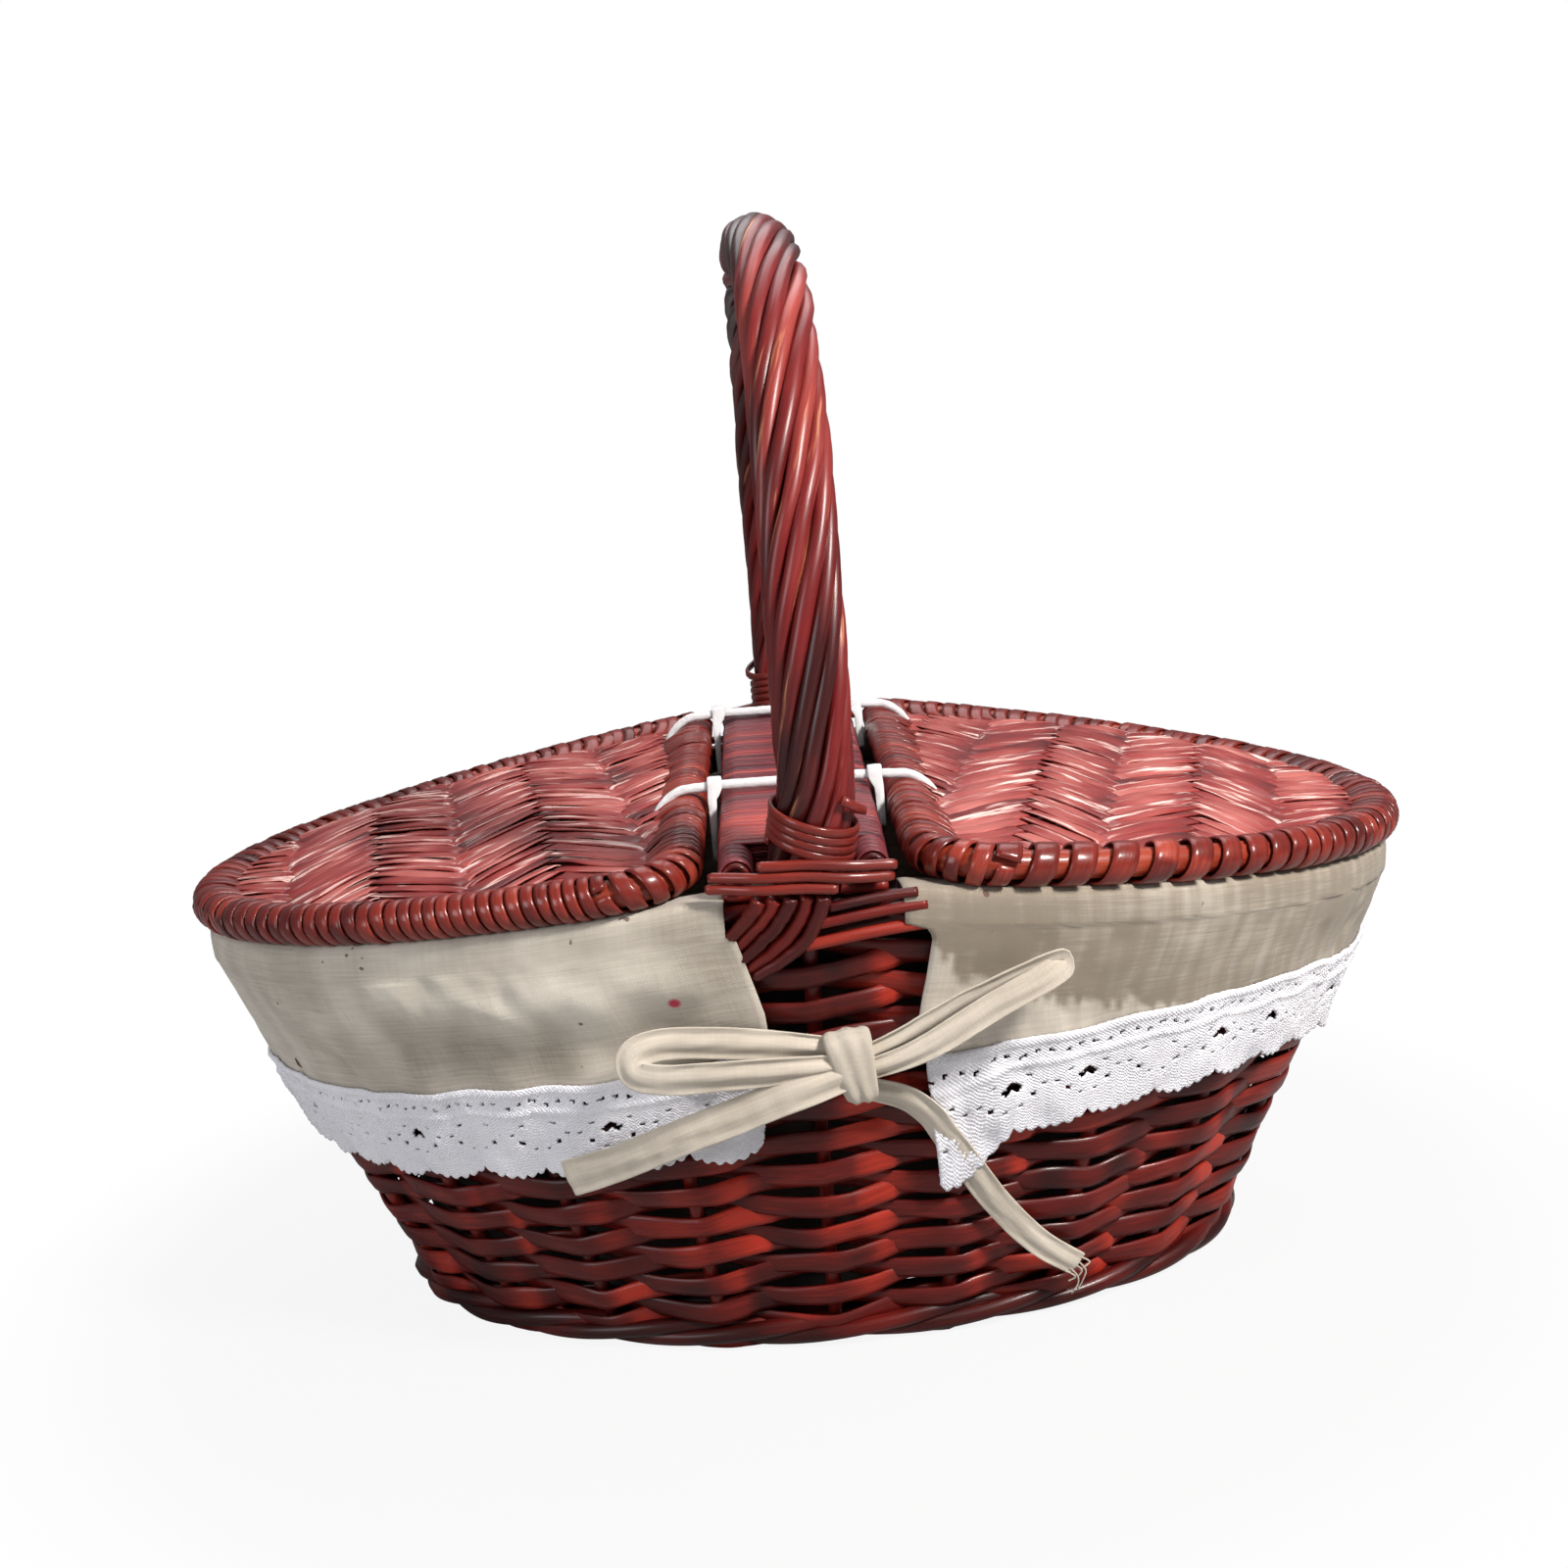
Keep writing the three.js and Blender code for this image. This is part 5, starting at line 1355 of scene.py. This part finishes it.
def surface_size(points):
    """Mean width, mean length and area of a grid of points."""
    across = np.linalg.norm(np.diff(points, axis=0), axis=2).sum(0).mean()
    down = np.linalg.norm(np.diff(points, axis=1), axis=2).sum(1).mean()
    one, two = points[1:, :-1] - points[:-1, :-1], points[:-1, 1:] - points[:-1, :-1]
    return across, down, np.linalg.norm(np.cross(one, two), axis=2).sum()


def bag_points(share):
    """The side hangs inside the wall, sags inwards like a sine and has fine folds that deepen downwards. The
    floor shrinks each ring towards the middle and settles on the base like an exponential."""
    angle = wall_angle(share * stake_count)[:, None]
    up = np.linspace(1 - 0.6 * MM / wall_height, 0.05, 26)[None]
    folds = 0.8 * MM * (1 - up) * np.sin(2 * np.pi * 26 * share)[:, None] + 0.5 * MM * ring_drift(share, 91)[:, None]
    sag = bag_sag * np.sin(np.pi * np.clip(up, 0, 1)) ** 0.6
    side = wall(angle, up, -lining - np.abs(folds) - sag)
    ring = side[:, -1]
    floor_level = base_high[2] + 1.1 * MM
    t = np.linspace(0, 1, 12)[None, 1:, None]
    inner = ring[:, None] * (1 - t * (0.985, 0.985, 0))
    inner[..., 2] = floor_level + (ring[:, None, 2] - floor_level) * np.exp(-9 * t[..., 0])
    points = np.concatenate([side, inner], 1)
    centre = np.broadcast_to(points[:, -1:].mean(0, keepdims=True), points[:, -1:].shape)
    return np.concatenate([points, centre], 1)


def liner_bag():
    """The bag's surface, with a near-black finish outside as painted shade and the clean one inside."""
    work = Work(90)
    share = np.linspace(0, 1, 200, endpoint=False)
    points = bag_points(share)
    area = surface_size(np.concatenate([points, points[:1]]))[2]
    run = np.concatenate([share, [1]]) * 0.9
    across = run_along(points[0])
    work.surface(points, 0.5, ring=True, closed=False, shift=False, run=run, across=across)
    made = work.piece("linen_bag", painted_shade_linen, nodes=["liner_bag"], slot="linen")
    thicken(made, linen_thickness).material_offset = 1
    made.data.materials.append(linen_cloth)


liner_bag()

# %% [markdown]
# The cuffs are drawn from the photograph: the left one hangs a good 50 mm and swings in towards the bow, and the
# right one gets shallower towards the round end. Soft folds are a distance off the wall that grows towards the
# hem. The back, which the photograph doesn't show, has nearly the same two edges the other way round.

# %% Cuffs
over_rim = np.array([(-7.2, -9), (-7.2, -4.5), (-6.9, -1.4), (-5.6, 0.7), (-2.5, 0.95), (2.5, 0.95),
                     (5.6, 0.75), (6.8, -1.2), (6.9, -4.5), (6.6, -9)]) * MM
edge_levels = (0, 0.25, 0.5, 0.75, 1, 1.72)
cuffs = {
    "left": {"hem": ((0, 46), (0.04, 51), (0.12, 52), (0.3, 54), (0.5, 52), (0.75, 46), (1, 50)),
             "front": (-23, -19.8, -16.8, -13.9, -13.2, -17.5), "back": (-31, -31, -32, -33, -34, -36)},
    "right": {"hem": ((0, 54), (0.05, 50), (0.12, 44), (0.25, 37), (0.45, 38), (0.7, 46), (1, 48)),
              "front": (27, 34.5, 32, 29.2, 30.6, 33), "back": (23, 19, 17, 15, 15, 17)},
}
cuff_columns, cuff_rows = 260, 26
lid_shadow_places, lid_shadow_drops = (0, 0.02, 0.05, 0.12, 0.2, 1), (12, 24, 31, 34, 44, 60)


def cuff_angle(hand, along, drop, hem):
    """Where the cloth is on the oval: it runs evenly between its front and back edges, whose distances from the
    middle are given in millimetres at levels from the rim, 0, past the hem, 1."""
    level = np.clip(drop / hem, 0, None)
    front, back = (np.interp(level, edge_levels, cuffs[hand][edge]) * MM for edge in ("front", "back"))
    half = wall_half(1 - np.maximum(drop - seam_drop, 0) / wall_height)[0]
    start = -np.arccos(np.clip(front / half, -1, 1))
    finish = np.arccos(np.clip(back / half, -1, 1))
    if hand == "left":
        finish = finish - 2 * np.pi
    return start + (finish - start) * along


def swag_shape(hand, along, drop):
    """One long level swag on the left cuff with a hollow under it: a bell over the drop at 12 mm less a lower
    one at 30 mm, from the front edge towards the round end."""
    if hand == "right":
        return 0 * drop
    level = drop / MM + 5 * drift(along, 106, 0.2, 3)
    window = rise(along, 0, 0.05) * rise(along, 0.40, 0.22)
    return (bell(level, 12, 8) - 0.55 * bell(level, 30, 9)) * window


def cuff_folds(hand, along, drop):
    """Slow and fast waves along the cuff that deepen with the drop, small creases, and the swag."""
    seed = 95 if hand == "left" else 96
    depth = np.clip(drop / (50 * MM), 0, 1.6)
    slow = drift(along + 0.02 * drop / MM / 40, seed, 0.5, 3)
    quick = drift(along - 0.03 * drop / MM / 40, seed + 2, 0.12, 3)
    crumple = drift(along * 0.43 + 0.5 * drop, seed + 4, 0.05, 5)
    crumple = crumple * drift(along * 0.43 - 0.8 * drop, seed + 5, 0.07, 4)
    return ((slow + 0.6 * quick + 1.2) * depth + 1.1 * crumple + 2.6 * swag_shape(hand, along, drop)) * MM


def cuff_points(hand, along, drop, hem, lift=0.0):
    """Points of the cloth on the wall."""
    below = drop - seam_drop
    off = cloth_off + lift + cuff_folds(hand, along, below)
    return wall(cuff_angle(hand, along, drop, hem), 1 - below / wall_height, off)


def cuff_tone(hand, along, drop):
    """The left cuff is light, with painted light on its swag and painted shade in the hollow under it. The right
    one has a painted shadow of the lid's edge: darker down to a ragged, toothed line, which falls from the lid's
    corner to the hem: a line plus the sizes of two fine drifts."""
    if hand == "left":
        cloudy = 0.08 * np.clip(drift(along, 102, 0.12, 3), -1, 1)
        # Painted light on the swag's ridge and painted shade in the hollow under it.
        return 0.6 + cloudy + 0.22 * swag_shape(hand, along, drop - seam_drop)
    # Painted shadow of the lid's edge: its lower line is ragged like the teeth of the lid's winding.
    line = np.interp(along, lid_shadow_places, lid_shadow_drops) * MM
    lid_shadow_teeth = np.abs(drift(along, 103, 0.011, 3)) * 5 * MM + np.abs(drift(along, 104, 0.004, 3)) * 3 * MM
    return 0.62 - 0.5 * np.clip((line + lid_shadow_teeth - drop) / (2.5 * MM), 0, 1) + 0.1 * drift(along, 105, 0.006, 3)


def declared(work, name, finish, thickness, nodes, slot):
    """A sheet with its thickness."""
    made = work.piece(name, finish, nodes=nodes, slot=slot)
    thicken(made, thickness)
    return made


def cuff(hand):
    """A smooth section carried over the rim, then the cloth on the wall down to the hem."""
    along = np.linspace(0, 1, cuff_columns)
    hem = np.interp(along, *np.array(cuffs[hand]["hem"]).T) * MM + 0.7 * MM * drift(along, 97, 0.15)
    top = smooth_path(np.concatenate([over_rim, np.zeros((len(over_rim), 1))], 1), 22)[:, :2]
    angle = cuff_angle(hand, along, 0 * along, hem)
    x, y = oval(rim_half, angle[:, None], top[None, :, 0])
    turnover = xyz(x, y, rim_plane(x) + top[None, :, 1])
    drop = seam_drop + (hem[:, None] - seam_drop) * np.linspace(0, 1, cuff_rows)[None, 1:]
    points = np.concatenate([turnover, cuff_points(hand, along[:, None], drop, hem[:, None])], 1)
    drops = np.concatenate([np.zeros(turnover.shape[:2]), drop], 1)
    tone = cuff_tone(hand, along[:, None], drops)
    width, length, area = surface_size(points)
    across = run_along(points[cuff_columns // 2])
    if hand == "left":
        points, tone, across = points[:, ::-1], tone[:, ::-1], across[::-1]
    work = Work(98)
    work.surface(points, tone, closed=False, shift=False, run=along * width, across=across)
    print(f"cuff {hand}: width {width:.3f} m, length {length:.3f} m, area {area:.4f} m2")
    declared(work, f"cuff_{hand}", linen_cloth, linen_thickness, [f"liner_cuff_{hand}"], "linen")
    return hem


# %% [markdown]
# A band of crochet hangs from each hem. The real one is knotted thread, which would take millions of faces, so
# here it is a sheet with real holes: a rule on the motif says which small faces are left out, and a low relief
# of stitches covers the rest.

# %% Lace
lace_depth, lace_thickness, lace_rows = 33 * MM, 0.9 * MM, 44
lace_lengths = {"left": 0.43, "right": 0.42}
lace_flaps = {"left": (4 * MM, 0.03), "right": (16 * MM, 0.035)}
# Painted light: the left band is lighter than the right, though both are the same crochet.
lace_tones = {"left": 0.72, "right": 0.5}
larger_holes_start = {"left": 1.9, "right": 1}
motif, picot_pitch = 21 * MM, 3.5 * MM
small_holes = ((4.9, 13.6, 0.75), (5.9, 20.0, 0.75), (2.2, 23.2, 0.7), (8.6, 16.4, 0.7))


def lace_edge(hand, along):
    """Depth of the lace: scallops and small picots, both the size of a sine, cut away from its lower edge, and
    a longer flap at the front edge."""
    place = along * lace_lengths[hand]
    scallop = np.abs(np.sin(np.pi * place / motif)) ** 0.6
    picot = np.abs(np.sin(np.pi * place / picot_pitch))
    flap, reach = lace_flaps[hand]
    return lace_depth - 3.6 * MM * (1 - scallop) - 1.5 * MM * (1 - picot) + bell(along, 0, reach) * flap


def lace_holes(hand, across, down):
    """Which faces are holes: dashes along a zigzag, an oval in the middle of some motifs, and four small
    rectangles on each side of every motif's middle."""
    aside = (0.5 - np.abs(np.mod(across / motif, 1) - 0.5)) * motif
    wave = np.abs(np.mod(across / (11.7 * MM), 1) - 0.5) * 4.4 * MM
    holes = (np.abs(down - 4.6 * MM - wave) < 0.62 * MM) & (np.mod(across, 3.9 * MM) < 1.5 * MM)
    some = np.mod(across / motif + 0.5, 3) > larger_holes_start[hand]
    holes |= some & (((aside / 2.9) ** 2 + ((down - 17 * MM) / 1.6) ** 2) < MM**2)
    for centre, low, wide in small_holes:
        holes |= (np.abs(aside - centre * MM) < wide * MM) & (np.abs(down - low * MM) < 0.5 * MM)
    return holes


def lace_relief(across, down):
    """Stitches, the product of two sines, and two raised rows near the top."""
    stitches = 0.34 * MM * np.sin(2 * np.pi * down / (2.9 * MM)) * np.sin(2 * np.pi * across / (2.3 * MM))
    return stitches + 0.7 * MM * (bell(down, 2 * MM, MM) + bell(down, 9.6 * MM, MM))


def lace(hand, hem_rows):
    """The cuff's own surface carried on below the hem, moved level outwards by the relief."""
    length = lace_lengths[hand]
    along = np.linspace(0, 1, int(length / (0.72 * MM)))
    hem = np.interp(along, np.linspace(0, 1, len(hem_rows)), hem_rows)
    place = along * length
    part = np.linspace(0, 1, lace_rows)[None]
    drop = hem[:, None] - 1.5 * MM + lace_edge(hand, along)[:, None] * part
    points = cuff_points(hand, along[:, None], drop, hem[:, None], 1.1 * MM)
    middles = place[:-1] + place[1] / 2, (part[0, :-1] + part[0, 1] / 2) * lace_depth
    across, down = np.meshgrid(*middles, indexing="ij")
    kept = ~lace_holes(hand, across, down).ravel()
    points[:-1, :-1] += unit(points[:-1, :-1] * (1, 1, 0)) * lace_relief(across, down)[..., None]
    work = Work(99)
    work.surface(points, lace_tones[hand], closed=False, shift=False, run=place, across=part[0] * lace_depth)
    work.faces = [face for face, keep in zip(work.faces, kept) if keep]
    corner_uvs = work.uvs[0].reshape(-1, 4, 2)[kept]
    if hand == "right":
        work.faces = [face[::-1] for face in work.faces]
        corner_uvs = corner_uvs[:, ::-1]
    work.uvs = [corner_uvs.reshape(-1, 2)]
    width, height = surface_size(points)[:2]
    print(f"lace {hand}: width {width:.3f} m, depth {height:.4f} m, {(~kept).sum()} of {kept.size} faces left out")
    declared(work, f"lace_{hand}", lace_cloth, lace_thickness, [f"cuff_lace_{hand}"], "crochet_lace")


for hand in ("left", "right"):
    lace(hand, cuff(hand))

# %% [markdown]
# A ribbon of the same cloth gathers the cuffs in a bow. A loop is a strip whose middle line goes out from the
# knot and comes back, a tail a strip that hangs from it. Along a strip the width is pinched at the knot and
# opens towards the end, with a crease down the middle. The back has the same bow turned half round.

# %% Bow strips
ribbon_width, ribbon_thickness = 11 * MM, 0.8 * MM
ribbon_stations, ribbon_columns = 60, 9
first_strip_seed = 121
bow_strips = {
    "loop_left": {"wide": 9.8, "crease": 1.0, "pinch": 0.30, "knots": (
        (8, 108, 11.0, 0.0), (-10, 110.7, 11, 0.1), (-28, 113.4, 12, 0.1), (-43, 114.0, 13.5, 0.0),
        (-50, 111.5, 16.5, 0.0), (-49.6, 106.3, 19.0, 0.1), (-42, 104.6, 19.5, 0.15), (-30, 104.8, 19.5, 0.2),
        (-18, 105, 18.5, 0.15), (8, 104.5, 15.5, 0.0))},
    "loop_right": {"wide": 8.2, "crease": 1.0, "pinch": 0.25, "knots": (
        (12, 105, 11.5, 0.1), (24, 110.5, 12, 0.3), (40, 119.5, 13, 0.5), (58, 128.3, 15, 0.6),
        (68, 131.6, 17, 0.6), (65, 128.5, 19.5, 0.5), (48, 119.8, 19, 0.4), (28, 107.8, 18, 0.2),
        (12, 101.5, 15, 0.1))},
    "tail_left": {"wide": 10.5, "crease": 0.8, "pinch": 0.1, "flare": 0.12, "knots": (
        (12, 104, 17, 0.1), (-2.7, 99.3, 19, 0.2), (-13.5, 95.6, 19.5, 0.25), (-38, 84.8, 18, 0.15),
        (-58, 74.6, 15.5, 0.05), (-73, 68.0, 14, 0.0))},
    "tail_right": {"wide": 9.6, "crease": 0.7, "pinch": 0.2, "flare": -0.12, "knots": (
        (10, 96, 13.0, 0.2), (22.5, 90.5, 10.8, 0.4), (30.5, 82.8, 9.0, 0.5), (35, 74.5, 8.2, 0.4),
        (41.5, 62.6, 8.0, 0.3), (50, 47, 8.6, 0.3), (61, 31.2, 9.4, 0.25), (73, 19.4, 10.8, 0.2))},
}


def ribbon(name, side, nodes, seed, knots, wide, crease, pinch, flare=0.0):
    """A strip on the front of the wall. Knots give its middle line as x, height and distance off the wall, and
    its width lies in the wall's plane, square to the line, turned out by the twist given with each knot. The
    width is less by the pinch near the knot, and grows by the flare times the share cubed."""
    knots = np.array(knots, float)
    share = np.linspace(0, 1, ribbon_stations)
    route = smooth_path(knots[:, :3] * MM, ribbon_stations)
    twist = np.interp(share, np.linspace(0, 1, len(knots)), knots[:, 3])
    path = on_front(*route.T)
    off = unit(on_front(*(route + (0, 0, MM)).T) - path)
    along = unit(np.gradient(path, axis=0))
    flat = unit(np.cross(off, along))
    across, up = tilted(flat, unit(np.cross(along, flat)), twist)
    from_knot = share if flare else np.minimum(share, 1 - share)
    width = wide * MM * (1 - pinch * bell(from_knot, 0, 0.13)) * (1 + flare * share**3)
    u = np.linspace(-1, 1, ribbon_columns)
    fold = crease * MM * np.cos(1.5 * np.pi * u)[None] * (0.6 + 0.8 * bell(from_knot, 0, 0.2))[:, None]
    fold = fold + 0.35 * MM * drift(share[:, None] * 0.6 + 0.2 * u[None], seed, 0.25)
    points = path[:, None] + across[:, None] * (u[None] * width[:, None] / 2)[..., None]
    points = turned_round(points + up[:, None] * fold[..., None], side)
    length, area = surface_size(points)[::2]
    print(f"{name}: {length:.3f} m long, {area / length / ribbon_width:.2f} of its flat width shows")
    work = Work(seed)
    work.surface(points, 0.5, closed=False, across=(u + 1) / 2 * wide * MM)
    soften(declared(work, name, ribbon_cloth, ribbon_thickness, nodes, "ribbon"))


# %% Knot and loose threads
knot_x, knot_z, knot_off = 9.8 * MM, 103.4 * MM, 13.5 * MM
knot_half_height, knot_half_depth = 11.2 * MM, 5.4 * MM
thread_reaches = (3.5, 9.5, 5.0, 10.5, 4.0)
thread_radius = 0.28 * MM


def knot(end, side):
    """The ribbon wrapped once round the gathered loops: a short flat tube about the bow's length, wider at its
    top than at its foot, with creases that run round it."""
    turn = np.linspace(0, 2 * np.pi, 48, endpoint=False)[:, None]
    along = np.linspace(-1, 1, 13)[None]
    crease = 0.42 * MM * np.sin(along * 8.5 + 1.6 * np.sin(turn)) * (1 - along**2) ** 0.3
    shoulder = 1 - 0.13 * np.abs(along) ** 3
    up = (knot_half_height * shoulder + crease) * np.sign(np.sin(turn)) * np.abs(np.sin(turn)) ** 0.85
    near = (knot_half_depth * shoulder + crease) * np.sign(np.cos(turn)) * np.abs(np.cos(turn)) ** 0.7
    reach = (6.2 + 1.3 * np.sin(turn)) * MM * along
    points = on_front(knot_x, knot_z, knot_off) + xyz(reach - 1.9 * MM * np.sin(turn), -near, up + 0.10 * reach)
    work = Work(120)
    work.surface(turned_round(points, side).transpose(1, 0, 2)[:, ::-1], 0.5)
    soften(work.piece(f"bow_wrap_{end}", ribbon_cloth, nodes=[f"bow_knot_{end}"], slot="ribbon"))


def frayed_end(end, side):
    """Loose threads at the right tail's end: thin tubes that curl down from it."""
    work = Work(125)
    for k, reach in enumerate(thread_reaches):
        x, z = 70 + 1.3 * k, 17.2 + 0.9 * k
        knots = [(x - 1, z + 1, 10.8), (x + 1.2, z - reach * 0.3, 11.3),
                 (x + 1.8 - 0.5 * k, z - reach * 0.65, 11.2), (x - 0.4 * k, z - reach, 10.6)]
        path = on_front(*(smooth_path(knots, 12) * MM).T)
        work.rod(path, frontwards, round_section(thread_radius, 5), 0.6, side=side)
    work.piece(f"frayed_threads_{end}", ribbon_cloth, nodes=[f"bow_ribbon_right_{end}"], slot="ribbon")


for end, side in (("front", -1), ("back", 1)):
    for seed, (strip, shape) in enumerate(bow_strips.items(), first_strip_seed):
        hand = strip.split("_")[1]
        ribbon(f"bow_{strip}_{end}", side, [f"bow_ribbon_{hand}_{end}"], seed, **shape)
    frayed_end(end, side)
    knot(end, side)

# %% [markdown]
# The set is a pale floor under soft light: a broad lamp from the upper right, a weaker one from the left, one
# from above and a bright even sky. The floor is partly lit by its own white for the camera alone, so it looks
# like the white of a catalogue page and still takes the hamper's shadow.

# %% Set and light
floor_half = 9
floor_grey, page_white = (0.34, 0.34, 0.34), (1, 1, 1)
sky_colour, sky_strength = (0.92, 0.95, 1), 0.22
white_near, white_far = 0.21, 0.31


def floor():
    """Its grey, and for camera rays nine tenths of white near the hamper, growing to all of it further off."""
    mesh = bpy.data.meshes.new("floor")
    ends = ((-1, -1), (1, -1), (1, 1), (-1, 1))
    mesh.from_pydata([(x * floor_half, y * floor_half, 0) for x, y in ends], [], [(0, 1, 2, 3)])
    made = add_object("floor", mesh)
    finish = Finish("floor", Base_Color=floor_grey, Roughness=0.95)
    away = finish.vectors("LENGTH", finish.place(), output=1)
    white = away.step(white_near, white_far) * 0.10 + 0.90
    grey, glow = Link(finish, finish.shader.outputs[0]), finish.add("ShaderNodeEmission")
    mixed = finish.from_camera(glow, grey, finish.add("ShaderNodeLightPath") * white)
    finish.join(finish.tree.nodes["Material Output"].inputs[0], mixed)
    mesh.materials.append(finish.material)


def sky():
    """A bluish light from everywhere, and a white page for camera rays."""
    world = bpy.data.worlds.new("sky")
    scene.world = world
    world.use_nodes = True
    nodes = Nodes(world.node_tree)
    light = nodes.tree.nodes["Background"]
    nodes.join(light.inputs[0], sky_colour)
    nodes.join(light.inputs[1], sky_strength)
    page = nodes.add("ShaderNodeBackground", None, {0: page_white})
    mixed = nodes.from_camera(page, Link(nodes, light.outputs[0]), nodes.add("ShaderNodeLightPath"))
    nodes.join(nodes.tree.nodes["World Output"].inputs[0], mixed)


def lamp(name, place, size, power, colour):
    """A square area lamp that looks at the hamper's middle."""
    light = bpy.data.lights.new(name, "AREA")
    light.size, light.energy, light.color = size, power, colour
    back = unit(np.array(place) - (0, 0, 0.15))
    side = unit(np.cross(upwards, back))
    stand(add_object(name, light), (side, np.cross(back, side), back), place)


floor()
sky()
lamp("key", (0.66, -0.66, 0.95), 0.22, 24, (1.0, 0.96, 0.92))
lamp("fill", (-1.0, -0.9, 0.6), 0.6, 7, (0.96, 0.97, 1.0))
lamp("top", (0.1, 0.55, 1.15), 0.9, 8, (1.0, 0.98, 1.0))
print("lamps:", [light.name for light in bpy.data.lights])

print("faces:", sum(pieces_made.values()), "in", len(pieces_made), "pieces")
